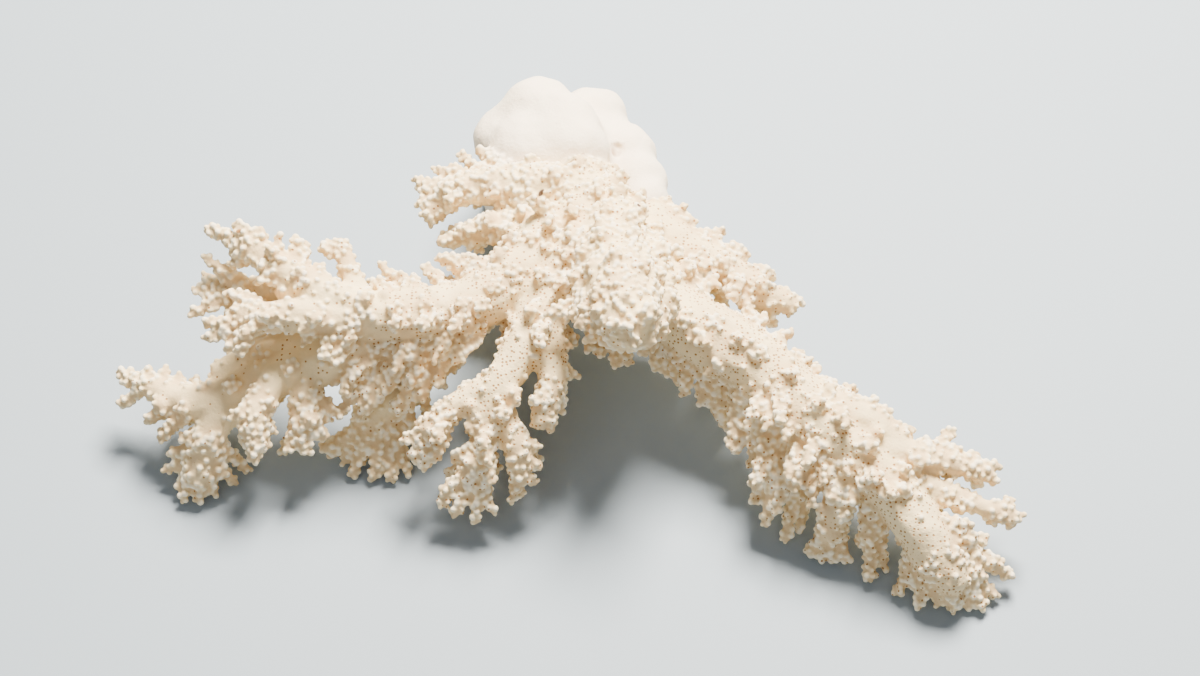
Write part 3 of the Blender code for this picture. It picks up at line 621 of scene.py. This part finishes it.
class NodeBench:
    """A node tree in the making."""

    def __init__(self, tree):
        self.tree = tree

    def add(self, kind, inputs=None, **settings):
        """Adds a node. An input's value is a number, a colour or another node's output."""
        made = self.tree.nodes.new(kind)
        for name, value in settings.items():
            setattr(made, name, value)
        for key, value in (inputs or {}).items():
            self.give(made.inputs[key], value)
        return made

    def give(self, socket, value):
        """Links another node's output to an input, or sets it to a plain value."""
        if isinstance(value, bpy.types.NodeSocket):
            self.tree.links.new(value, socket)
        else:
            socket.default_value = value

    def math(self, operation, first, second=0.0):
        return self.add("ShaderNodeMath", {0: first, 1: second}, operation=operation).outputs[0]

    def fade(self, value, start, end, low=0.0, high=1.0):
        """The value brought from start..end to low..high, and held there outside."""
        sockets = {"Value": value, "From Min": start, "From Max": end, "To Min": low, "To Max": high}
        return self.add("ShaderNodeMapRange", sockets).outputs["Result"]

    def mix(self, share, first, second):
        """A colour between two colours."""
        made = self.add("ShaderNodeMix", {"Factor": share}, data_type="RGBA")
        for socket, value in zip([s for s in made.inputs if s.type == "RGBA"], (first, second)):
            self.give(socket, value if isinstance(value, bpy.types.NodeSocket) else (*value, 1))
        return next(s for s in made.outputs if s.type == "RGBA")

    def attribute(self, name, kind="FLOAT"):
        """An attribute of the mesh that a geometry tree runs on."""
        return self.add("GeometryNodeInputNamedAttribute", {"Name": name}, data_type=kind).outputs[0]

    def mesh_of(self, given):
        """The mesh of an object that a geometry tree is given."""
        return self.add("GeometryNodeObjectInfo", {"Object": given}).outputs["Geometry"]

    def both(self, first, second):
        """Two meshes joined to one."""
        made = self.add("GeometryNodeJoinGeometry", {"Geometry": first})
        self.give(made.inputs["Geometry"], second)
        return made.outputs[0]


def geometry_bench(name, inputs):
    """A geometry tree with a Geometry in and out, and other inputs by their names and kinds."""
    tree = bpy.data.node_groups.new(name, "GeometryNodeTree")
    for title, kind in {"Geometry": "Geometry", **inputs}.items():
        tree.interface.new_socket(title, in_out="INPUT", socket_type="NodeSocket" + kind)
    tree.interface.new_socket("Geometry", in_out="OUTPUT", socket_type="NodeSocketGeometry")
    bench = NodeBench(tree)
    return bench, bench.add("NodeGroupInput").outputs


def finish_tree(bench, geometry, material):
    """Ends a geometry tree in Realize Instances and Set Material."""
    real = bench.add("GeometryNodeRealizeInstances", {"Geometry": geometry})
    painted = bench.add("GeometryNodeSetMaterial", {"Geometry": real.outputs[0], "Material": material})
    bench.add("NodeGroupOutput", {"Geometry": painted.outputs[0]})
    return bench.tree


def settled(obj):
    """Replaces the object's mesh by what its modifiers make of it."""
    bpy.context.view_layer.update()
    mesh = bpy.data.meshes.new_from_object(obj.evaluated_get(bpy.context.evaluated_depsgraph_get()))
    obj.modifiers.clear()
    obj.data = mesh


def run_tree(obj, tree, values):
    """Runs a geometry tree on the object, with values by input name, and keeps the plain mesh."""
    nodes = obj.modifiers.new(tree.name, "NODES")
    nodes.node_group = tree
    for item in tree.interface.items_tree:
        if item.in_out == "INPUT" and item.name in values:
            nodes[item.identifier] = values[item.name]
    settled(obj)


def new_object(name, data):
    made = bpy.data.objects.new(name, data)
    bpy.context.scene.collection.objects.link(made)
    return made


def edited_object(name, edited):
    """An object with the edited mesh."""
    mesh = bpy.data.meshes.new(name)
    edited.to_mesh(mesh)
    edited.free()
    return new_object(name, mesh)


def remelted(obj, voxel):
    """Melts overlapping shapes into one skin."""
    melt = obj.modifiers.new("melt", "REMESH")
    melt.mode = "VOXEL"
    melt.voxel_size = voxel
    settled(obj)


def softened(obj, turns):
    """Wears the surface smooth."""
    soften = obj.modifiers.new("soften", "SMOOTH")
    soften.factor = SOFTENING_STRENGTH
    soften.iterations = turns
    settled(obj)


def clouded(obj, name, size, rise):
    """Gives the object a modifier that makes its surface uneven, without settling it."""
    uneven = obj.modifiers.new(name, "DISPLACE")
    uneven.texture = bpy.data.textures.new(name, "CLOUDS")
    uneven.texture.noise_scale = size
    uneven.strength = rise


def read_all(items, title, kind, width=1):
    """One value of each of Blender's items, as a flat array."""
    values = np.empty(len(items) * width, dtype=kind)
    items.foreach_get(title, values)
    return values


def write_attribute(mesh, name, kind, values):
    """Stores a value at each point of a mesh."""
    layer = mesh.attributes.new(name, kind, "POINT")
    layer.data.foreach_set("vector" if kind == "FLOAT_VECTOR" else "value", np.ravel(values))


def rounded(path):
    """The path with round ends in place of flat ones."""
    ends = []
    for (place, radius), (inner, _) in ((path[0], path[1]), (path[-1], path[-2])):
        out = (place - inner).normalized()
        ends.append([
            (place + out * radius * math.sin(turn), radius * math.cos(turn)) for turn in ROUND_END_TURNS])
    return ends[0][::-1] + path + ends[1]


def lines_object(skeletons, settings):
    """The centre lines of all limbs and branchlets, with what the trees read at each point."""
    places, edges = [], []
    notes = {title: [] for title in ("thickness", "heading", "part", "twig", "strays", "warts", "pores")}
    for name, skeleton in skeletons.items():
        for number, tube in enumerate(skeleton.tubes):
            is_twig = number >= skeleton.limb_count
            room = (settings.twig_room if is_twig else settings.limb_room) / MM
            path = rounded([(place, radius - room) for place, radius in tube])
            way = (path[-1][0] - path[0][0]).normalized()
            first = len(places)
            edges += [(first + step, first + step + 1) for step in range(len(path) - 1)]
            for place, radius in path:
                places.append(place * MM)
                here = (
                    radius * MM, way, PARTS.index(name), is_twig, STRAY_KNOBS.get(name, FEW_STRAY_KNOBS),
                    WARTS.get(name, FEW_WARTS), OPEN_PORES.get(name, FEW_OPEN_PORES))
                for values, value in zip(notes.values(), here):
                    values.append(value)
    mesh = bpy.data.meshes.new("form")
    mesh.from_pydata(places, edges, [])
    for title, values in notes.items():
        write_attribute(mesh, title, "FLOAT_VECTOR" if title == "heading" else "FLOAT", values)
    return new_object("form", mesh)


def tube_tree():
    """Turns centre lines into closed tubes and joins them with the holdfast."""
    bench, given = geometry_bench("coral_tubes", {"Holdfast": "Object", "Sides": "Int", "Material": "Material"})
    line = bench.add("GeometryNodeMeshToCurve", {"Mesh": given["Geometry"]})
    ring = bench.add("GeometryNodeCurvePrimitiveCircle", {"Resolution": given["Sides"], "Radius": 1})
    tube = bench.add("GeometryNodeCurveToMesh", {
        "Curve": line.outputs[0], "Profile Curve": ring.outputs[0], "Scale": bench.attribute("thickness"),
        "Fill Caps": True})
    both = bench.both(tube.outputs[0], bench.mesh_of(given["Holdfast"]))
    return finish_tree(bench, both, given["Material"])


def sampled(bench, mesh, name, kind="FLOAT"):
    """An attribute of another mesh, read at the place nearest to here."""
    inputs = {"Mesh": mesh, "Value": bench.attribute(name, kind)}
    return bench.add("GeometryNodeSampleNearestSurface", inputs, data_type=kind).outputs["Value"]


def distance_to(bench, mesh):
    return bench.add("GeometryNodeProximity", {"Geometry": mesh}, target_element="FACES").outputs["Distance"]


def twig_distance(bench, form):
    """How far here is from the nearest branchlet."""
    is_twig = bench.add(
        "FunctionNodeCompare", {"A": bench.attribute("twig"), "B": 0.5}, operation="GREATER_THAN")
    twigs = bench.add(
        "GeometryNodeSeparateGeometry", {"Geometry": form, "Selection": is_twig.outputs[0]}, domain="FACE")
    return distance_to(bench, twigs.outputs["Selection"])


def wart_share(bench, form, given):
    """Warts stand on the limbs, clear of the branchlets."""
    clear = bench.fade(twig_distance(bench, form), KNOB_MARGIN, given["Reach"])
    return bench.math("MULTIPLY", clear, sampled(bench, form, "warts"))


def on_wart(bench, form):
    """How far here is on a wart, by its distance from the limbs under it."""
    return bench.fade(distance_to(bench, form), *WART_SHOWS)


def knob_share(bench, form, given):
    """Knobs stand close together on branchlets and warts, and thin out along the bare limbs."""
    near = bench.fade(twig_distance(bench, form), KNOB_MARGIN, given["Reach"], 1.0, 0.0)
    some = bench.math("MAXIMUM", sampled(bench, form, "strays"), on_wart(bench, form))
    return bench.math("MAXIMUM", near, some)


def knob_tree(name, share_here):
    """Sets round knobs on the surface, as densely as share_here says."""
    bench, given = geometry_bench(name, {
        "Form": "Object", "Radius": "Float", "Height": "Float", "Spacing": "Float", "Slant": "Float",
        "Reach": "Float", "Seed": "Int", "Material": "Material"})
    form = bench.mesh_of(given["Form"])
    density = bench.math("DIVIDE", KNOBS_PER_SQUARE, bench.math("POWER", given["Spacing"], 2.0))
    points = bench.add("GeometryNodeDistributePointsOnFaces", {
        "Mesh": given["Geometry"], "Distance Min": given["Spacing"], "Density Max": density,
        "Density Factor": share_here(bench, form, given), "Seed": given["Seed"]}, distribute_method="POISSON")
    heading = sampled(bench, form, "heading", "FLOAT_VECTOR")
    lean = bench.add("ShaderNodeVectorMath", {0: heading, "Scale": given["Slant"]}, operation="SCALE")
    normal = points.outputs["Normal"]
    way = bench.add("ShaderNodeVectorMath", {0: normal, 1: lean.outputs[0]}, operation="ADD")
    turn = bench.add("FunctionNodeAlignRotationToVector", {"Vector": way.outputs[0]}, axis="Z")
    size = bench.add("FunctionNodeRandomValue", {2: LEAST_KNOB, 3: MOST_KNOB, "Seed": given["Seed"]})
    lift = bench.math("MULTIPLY", given["Height"], KNOB_LIFT)
    half = bench.math("SUBTRACT", given["Height"], lift)
    ball = bench.add("GeometryNodeMeshUVSphere", {"Segments": KNOB_SIDES, "Rings": KNOB_RINGS, "Radius": 1})
    scale = bench.add("ShaderNodeCombineXYZ", {"X": given["Radius"], "Y": given["Radius"], "Z": half})
    raised = bench.add("ShaderNodeCombineXYZ", {"Z": lift})
    knob = bench.add("GeometryNodeTransform", {
        "Geometry": ball.outputs["Mesh"], "Translation": raised.outputs[0], "Scale": scale.outputs[0]})
    knobs = bench.add("GeometryNodeInstanceOnPoints", {
        "Points": points.outputs["Points"], "Instance": knob.outputs[0], "Rotation": turn.outputs[0],
        "Scale": size.outputs[1]})
    return finish_tree(bench, bench.both(knobs.outputs[0], given["Geometry"]), given["Material"])


def set_on(obj, form, tree, radius, height, spacing):
    """Runs a knob tree on the object, with knobs of this size."""
    settings = bpy.context.scene.coral
    run_tree(obj, tree, {
        "Form": form, "Radius": radius, "Height": height, "Spacing": spacing, "Slant": settings.knob_slant,
        "Reach": settings.knob_reach, "Seed": SEED, "Material": bpy.data.materials["bleached_coral"]})


def blurred(bench, value):
    return bench.add("GeometryNodeBlurAttribute", {"Value": value, "Iterations": BLUR_TURNS}).outputs[0]


def reading_tree():
    """Writes on the skin what its finish needs: rise over the core, which also sets the painted shade in the
    hollows, bareness, wear, and which part it is.
    """
    bench, given = geometry_bench("coral_readings", {
        "Form": "Object", "Core": "Object", "Height": "Float", "Reach": "Float", "Material": "Material"})
    form, core = bench.mesh_of(given["Form"]), bench.mesh_of(given["Core"])
    part = sampled(bench, form, "part")
    away = bench.fade(twig_distance(bench, form), KNOB_MARGIN, given["Reach"])
    away = bench.math("MINIMUM", away, bench.math("SUBTRACT", 1.0, on_wart(bench, form)))
    readings = (
        ("rise", "POINT", bench.fade(distance_to(bench, core), 0.0, given["Height"])),
        ("bare", "POINT", blurred(bench, away)),
        ("pores", "POINT", blurred(bench, sampled(bench, form, "pores"))),
        ("wear", "POINT", blurred(bench, bench.fade(part, 0.0, 1.0, 1.0, 0.0))),
        ("part", "FACE", part),
    )
    geometry = given["Geometry"]
    for title, domain, value in readings:
        inputs = {"Geometry": geometry, "Name": title, "Value": value}
        stored = bench.add("GeometryNodeStoreNamedAttribute", inputs, data_type="FLOAT", domain=domain)
        geometry = stored.outputs[0]
    return finish_tree(bench, geometry, given["Material"])


def holdfast_form():
    """The holdfast: overlapping lobes melted together and worn smooth."""
    edited = bmesh.new()
    for across, up, height, radius in HOLDFAST_LOBES:
        ball = bmesh.ops.create_uvsphere(
            edited, u_segments=LOBE_SEGMENTS, v_segments=LOBE_RINGS, radius=radius * MM)
        bmesh.ops.translate(edited, verts=ball["verts"], vec=placed(across, up, height) * MM)
    made = edited_object("holdfast_form", edited)
    remelted(made, HOLDFAST_VOXEL)
    softened(made, HOLDFAST_SOFTENING)
    return made


def read_mesh(mesh):
    """The mesh's corner indices by triangle, and its points."""
    mesh.calc_loop_triangles()
    corners = read_all(mesh.loop_triangles, "vertices", np.int32, 3)
    places = read_all(mesh.vertices, "co", np.float32, 3)
    return corners.reshape(-1, 3), places.reshape(-1, 3)


def face_neighbours(corners):
    """For each triangle the triangles across its three edges."""
    count = len(corners)
    ends = np.sort(np.stack([corners, np.roll(corners, -1, axis=1)], axis=2), axis=2).reshape(-1, 2)
    order = np.lexsort((ends[:, 1], ends[:, 0]))
    owner = np.repeat(np.arange(count), 3)[order]
    across = np.empty(3 * count, dtype=np.int64)
    across[order[0::2]] = owner[1::2]
    across[order[1::2]] = owner[0::2]
    return across.reshape(-1, 3)


def even_borders(part, across):
    """Lets a triangle join the part that holds two of its neighbours, until the borders run clean."""
    for _ in range(BORDER_TURNS):
        first, second, third = part[across].T
        part = np.where(first == second, first, np.where((first == third) | (second == third), third, part))
    return part


def islands(part, across):
    """A number for each triangle, the same for all that one part joins without a break."""
    group = np.arange(len(part))
    same = part[across] == part[:, None]
    while True:
        lowest = np.where(same, group[across], group[:, None]).min(axis=1)
        joined = group.copy()
        np.minimum.at(joined, group, lowest)
        while (joined[joined] != joined).any():
            joined = joined[joined]
        joined = joined[group]
        if (joined == group).all():
            return group
        group = joined


def one_island_each(part, across):
    """Gives a part's smaller islands to the part around them. A crumb that touches none stays loose."""
    names, place, sizes = np.unique(islands(part, across), return_inverse=True, return_counts=True)
    kept = np.zeros(len(names), dtype=bool)
    for number in range(len(PARTS)):
        owned = np.flatnonzero(part[names] == number)
        kept[owned[np.argmax(sizes[owned])]] = True
    part = np.where(kept[place], part, LOOSE)
    while True:
        around = part[across].max(axis=1)
        won = (part == LOOSE) & (around != LOOSE)
        if not won.any():
            return part
        part[won] = around[won]


def open_rims(corners):
    """The open rims of these triangles, as simple loops of points that run the way a lid on them does."""
    starts, ends = corners.ravel(), np.roll(corners, -1, axis=1).ravel()
    span = int(corners.max()) + 1
    is_open = ~np.isin(starts.astype(np.int64) * span + ends, ends.astype(np.int64) * span + starts)
    ahead = {}
    for end, start in zip(ends[is_open].tolist(), starts[is_open].tolist()):
        ahead.setdefault(end, []).append(start)
    loops = []
    while any(ahead.values()):
        path = [next(point for point, exits in ahead.items() if exits)]
        while ahead[path[-1]]:
            there = ahead[path[-1]].pop()
            if there in path:
                loops.append(path[path.index(there):])
                del path[path.index(there) + 1:]
            else:
                path.append(there)
    return loops


def closed_piece(name, corners, places, readings):
    """A mesh of these triangles. A lid closes each open end, and its rim is kept sharp."""
    used, local = np.unique(corners, return_inverse=True)
    corners = local.reshape(-1, 3)
    places = places[used]
    readings = {title: values[used] for title, values in readings.items()}
    lids, rim = [], set()
    for loop in open_rims(corners):
        middle = len(places)
        places = np.vstack([places, places[loop].mean(axis=0)])
        readings = {title: np.append(values, values[loop].mean()) for title, values in readings.items()}
        for here, there in zip(loop, loop[1:] + loop[:1]):
            lids.append((here, there, middle))
            rim.add((min(here, there), max(here, there)))
    corners = np.vstack([corners, np.array(lids, dtype=corners.dtype).reshape(-1, 3)])
    mesh = bpy.data.meshes.new(name)
    mesh.vertices.add(len(places))
    mesh.vertices.foreach_set("co", places.ravel())
    mesh.loops.add(corners.size)
    mesh.loops.foreach_set("vertex_index", corners.ravel().astype(np.int32))
    mesh.polygons.add(len(corners))
    mesh.polygons.foreach_set("loop_start", np.arange(0, corners.size, 3, dtype=np.int32))
    mesh.update(calc_edges=True)
    for title, values in readings.items():
        write_attribute(mesh, title, "FLOAT", values)
    mesh.shade_smooth()
    ends = read_all(mesh.edges, "vertices", np.int32, 2)
    ends = np.sort(ends.reshape(-1, 2), axis=1).astype(np.int64)
    sharp = np.isin(
        ends[:, 0] * len(places) + ends[:, 1], [low * len(places) + high for low, high in rim])
    mesh.attributes.new("sharp_edge", "BOOLEAN", "EDGE").data.foreach_set("value", sharp)
    return mesh


def shader_bench(name):
    """A new material, with its tree and its shader."""
    made = bpy.data.materials.new(name)
    made.use_nodes = True
    return made, NodeBench(made.node_tree), made.node_tree.nodes["Principled BSDF"]


def coral_material(settings):
    """Chalky skeleton: cream, pale on the knobs and darkened to a warm tone in the hollows as painted shade,
    with brown pores on bare skin.
    """
    made, bench, shader = shader_bench("bleached_coral")
    cream, chalk, peach_and_hollow_shade = tuple(settings.cream), tuple(settings.chalk), tuple(settings.peach_and_hollow_shade)
    place = bench.add("ShaderNodeTexCoord").outputs["Object"]
    rise, bare, pores, wear = (
        bench.add("ShaderNodeAttribute", attribute_name=title).outputs["Fac"] for title in READINGS)
    patches = bench.add("ShaderNodeTexNoise", {"Vector": place, **PATCHES}).outputs["Fac"]
    grain = bench.add("ShaderNodeTexNoise", {"Vector": place, **GRAINS}).outputs["Fac"]
    cells = bench.add("ShaderNodeTexVoronoi", {"Vector": place, **PORE_CELLS})
    lot = bench.add("ShaderNodeSeparateColor", {"Color": cells.outputs["Color"]}).outputs[0]
    is_open = bench.math("LESS_THAN", lot, bench.math("MULTIPLY", pores, bench.fade(bare, *OPEN_PORE_FADE)))
    pore = bench.math("MULTIPLY", is_open, bench.fade(cells.outputs["Distance"], *PORE_RIM_FADE))
    tinted = bench.mix(bench.fade(patches, *PATCH_FADE), cream, peach_and_hollow_shade)
    # Painted shade: the hollows between the knobs are darkened to the warm hollow colour by how low the skin
    # lies over the core.
    painted_hollow_shade = bench.mix(bench.fade(rise, *PAINTED_HOLLOW_SHADE_FADE), tinted, peach_and_hollow_shade)
    body = bench.mix(bench.fade(bare, *BARE_FADE), painted_hollow_shade, tinted)
    capped = bench.mix(bench.fade(rise, *CHALK_FADE), body, chalk)
    pored = bench.mix(pore, capped, tuple(settings.pore))
    relief = bench.math("SUBTRACT", bench.math("MULTIPLY", grain, GRAIN_IN_BUMP), pore)
    bump = bench.add("ShaderNodeBump", {"Height": relief, **BUMP})
    bench.give(shader.inputs["Base Color"], bench.mix(wear, pored, tuple(settings.worn)))
    bench.give(shader.inputs["Roughness"], bench.fade(grain, *ROUGHNESS_FADE))
    bench.give(shader.inputs["Normal"], bump.outputs["Normal"])
    for title, value in CORAL_SHADER.items():
        shader.inputs[title].default_value = value
    return made


def work(name):
    """An object from an earlier step of this script."""
    return bpy.data.objects[name]


class CORAL_OT_melt_core(bpy.types.Operator):
    """Grow the limbs, branchlets and holdfast, and melt them into one core"""

    bl_idname = "coral.melt_core"
    bl_label = "Melt the core"

    def execute(self, context):
        settings = context.scene.coral
        material = coral_material(settings)
        form = lines_object(grown_coral(), settings)
        run_tree(form, tube_tree(), {"Holdfast": holdfast_form(), "Sides": TUBE_SIDES, "Material": material})
        core = new_object("core", form.data.copy())
        remelted(core, settings.core_voxel)
        softened(core, CORE_SOFTENING)
        clouded(core, "lumps", LUMP_SIZE, LUMP_RISE)
        settled(core)
        warts = knob_tree("coral_warts", wart_share)
        set_on(core, form, warts, settings.wart_radius, settings.wart_height, settings.wart_spacing)
        remelted(core, settings.core_voxel)
        softened(core, CORE_SOFTENING)
        return {"FINISHED"}


class CORAL_OT_set_knobs(bpy.types.Operator):
    """Set the knobs on the core and melt both into one skin"""

    bl_idname = "coral.set_knobs"
    bl_label = "Set the knobs"

    def execute(self, context):
        settings = context.scene.coral
        form, core = work("form"), work("core")
        skin = new_object("skin", core.data.copy())
        knobs = knob_tree("coral_knobs", knob_share)
        set_on(skin, form, knobs, settings.knob_radius, settings.knob_height, settings.knob_spacing)
        remelted(skin, settings.skin_voxel)
        softened(skin, SKIN_SOFTENING)
        clouded(skin, "grain", GRAIN_SIZE, GRAIN_RISE)
        thin = skin.modifiers.new("thin", "DECIMATE")
        thin.ratio = min(1, settings.skin_faces / (2 * len(skin.data.polygons)))
        thin.use_collapse_triangulate = True
        settled(skin)
        run_tree(skin, reading_tree(), {
            "Form": form, "Core": core, "Height": settings.knob_height, "Reach": settings.knob_reach,
            "Material": bpy.data.materials["bleached_coral"]})
        return {"FINISHED"}


def found_marks():
    """The marks, with the places on the skin where the survey's sight lines meet it."""
    skin = work("skin")
    eye = eye_and_aim()[0] * MM
    found = []
    for start, end, width, depth, color in MARKS:
        ends = []
        for across, up in (start, end):
            way = placed(across, up, 0) * MM - eye
            hit, spot, _, _ = skin.ray_cast(eye, way.normalized())
            if not hit:
                raise RuntimeError(f"the mark at {across}, {up} misses the coral")
            ends.append(spot)
        found.append((*ends, width, depth, color))
    return found


def color_marks(material):
    """Adds the marks' colours to the material."""
    bench = NodeBench(material.node_tree)
    base = material.node_tree.nodes["Principled BSDF"].inputs["Base Color"]
    place = bench.add("ShaderNodeTexCoord").outputs["Object"]
    for start, end, width, _, mark_color in found_marks():
        reach = bench.math("ADD", *(
            bench.add("ShaderNodeVectorMath", {0: place, 1: point}, operation="DISTANCE").outputs["Value"]
            for point in (start, end)))
        inner, outer = ((end - start).length + share * width * MM for share in MARK_EDGE)
        inside = bench.fade(reach, inner, outer, 1.0, 0.0)
        bench.give(base, bench.mix(inside, base.links[0].from_socket, mark_color))


def press_pits(places):
    """Pushes the skin in where a mark is a pit, away from the eye."""
    eye = eye_and_aim()[0] * MM
    for start, end, width, depth, _ in found_marks():
        middle = (start + end) / 2
        reach = sum(np.linalg.norm(places - np.array(point), axis=1) for point in (start, end))
        share = np.clip(1 - (reach - (end - start).length) / (2 * width * MM), 0, 1)
        places += share[:, None] * depth * MM * np.array((middle - eye).normalized())


class CORAL_OT_part_at_forks(bpy.types.Operator):
    """Part the skin where the coral forks, one closed piece for each node"""

    bl_idname = "coral.part_at_forks"
    bl_label = "Part at the forks"

    def execute(self, context):
        mesh = work("skin").data
        material = bpy.data.materials["bleached_coral"]
        color_marks(material)
        corners, places = read_mesh(mesh)
        press_pits(places)
        places[:, 2] = np.maximum(places[:, 2], 0)
        label, *readings = (
            read_all(mesh.attributes[title].data, "value", np.float32) for title in ("part", *READINGS))
        readings = dict(zip(READINGS, readings))
        across = face_neighbours(corners)
        part = even_borders(np.round(label).astype(np.int64), across)
        part = one_island_each(part, across)
        for number, name in enumerate(PARTS):
            piece = new_object("coral_" + name, closed_piece(name, corners[part == number], places, readings))
            piece.data.materials.append(material)
            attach(piece, "root")
            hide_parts(name)
        for name in ("form", "core", "skin", "holdfast_form"):
            bpy.data.objects.remove(work(name))
        return {"FINISHED"}


def floor_material(color):
    """A plain pale floor, matt, with the least unevenness."""
    made, bench, shader = shader_bench("pale_floor")
    place = bench.add("ShaderNodeTexCoord").outputs["Object"]
    cloud = bench.add("ShaderNodeTexNoise", {"Vector": place, **FLOOR_CLOUDS}).outputs["Fac"]
    shade = tuple(channel * FLOOR_SHADE for channel in color)
    bench.give(shader.inputs["Base Color"], bench.mix(cloud, shade, tuple(color)))
    shader.inputs["Roughness"].default_value = FLOOR_ROUGHNESS
    return made


def point_at(made, place, aim):
    """Puts a light or the camera in its place and turns it to what it points at."""
    made.location = place
    made.rotation_euler = (aim - place).to_track_quat("-Z", "Y").to_euler()


def area_light(name, place, aim, size, power, color):
    """A square light of this size and power."""
    lamp = bpy.data.lights.new(name, "AREA")
    lamp.color = color
    lamp.size = size
    lamp.energy = power
    point_at(new_object(name, lamp), place, aim)


class CORAL_OT_set_stage(bpy.types.Operator):
    """Lay the floor and set the lights and the camera"""

    bl_idname = "coral.set_stage"
    bl_label = "Set the stage"

    def execute(self, context):
        stage = context.scene.coral_stage
        edited = bmesh.new()
        bmesh.ops.create_grid(edited, x_segments=1, y_segments=1, size=stage.floor_size / 2)
        floor = edited_object("floor", edited)
        floor.data.materials.append(floor_material(stage.floor_color))
        eye, aim = (point * MM for point in eye_and_aim())
        camera = new_object("camera", bpy.data.cameras.new("camera"))
        camera.data.lens = SENSOR_WIDTH * SIGHT_DISTANCE / FRAME_WIDTH_SEEN
        camera.data.sensor_width = SENSOR_WIDTH
        point_at(camera, eye, aim)
        context.scene.camera = camera
        area_light("key_light", KEY_PLACE, aim, KEY_SIZE, stage.key_power, KEY_COLOR)
        area_light("fill_light", FILL_PLACE, aim, FILL_SIZE, stage.fill_power, FILL_COLOR)
        world = bpy.data.worlds.new("soft_light")
        world.use_nodes = True
        background = world.node_tree.nodes["Background"]
        background.inputs["Color"].default_value = SKY_COLOR
        background.inputs["Strength"].default_value = stage.sky
        context.scene.world = world
        return {"FINISHED"}


class CORAL_PT_panel(bpy.types.Panel):
    """The coral's steps and settings"""

    bl_label = "Branching coral"
    bl_idname = "CORAL_PT_panel"
    bl_space_type = "VIEW_3D"
    bl_region_type = "UI"
    bl_category = "Coral"

    def draw(self, context):
        for step in STEPS:
            self.layout.operator(step.bl_idname)
        for settings in (context.scene.coral, context.scene.coral_stage):
            for name in settings.bl_rna.properties.keys():
                if name not in ("rna_type", "name"):
                    self.layout.prop(settings, name)


STEPS = (CORAL_OT_melt_core, CORAL_OT_set_knobs, CORAL_OT_part_at_forks, CORAL_OT_set_stage)
CLASSES = (CoralSettings, StageSettings, *STEPS, CORAL_PT_panel)


def register():
    for cls in CLASSES:
        bpy.utils.register_class(cls)
    bpy.types.Scene.coral = PointerProperty(type=CoralSettings)
    bpy.types.Scene.coral_stage = PointerProperty(type=StageSettings)


def unregister():
    del bpy.types.Scene.coral_stage
    del bpy.types.Scene.coral
    for cls in reversed(CLASSES):
        bpy.utils.unregister_class(cls)


def main():
    register()
    bpy.ops.coral.melt_core()
    bpy.ops.coral.set_knobs()
    bpy.ops.coral.part_at_forks()
    bpy.ops.coral.set_stage()


if __name__ == "__main__":
    main()
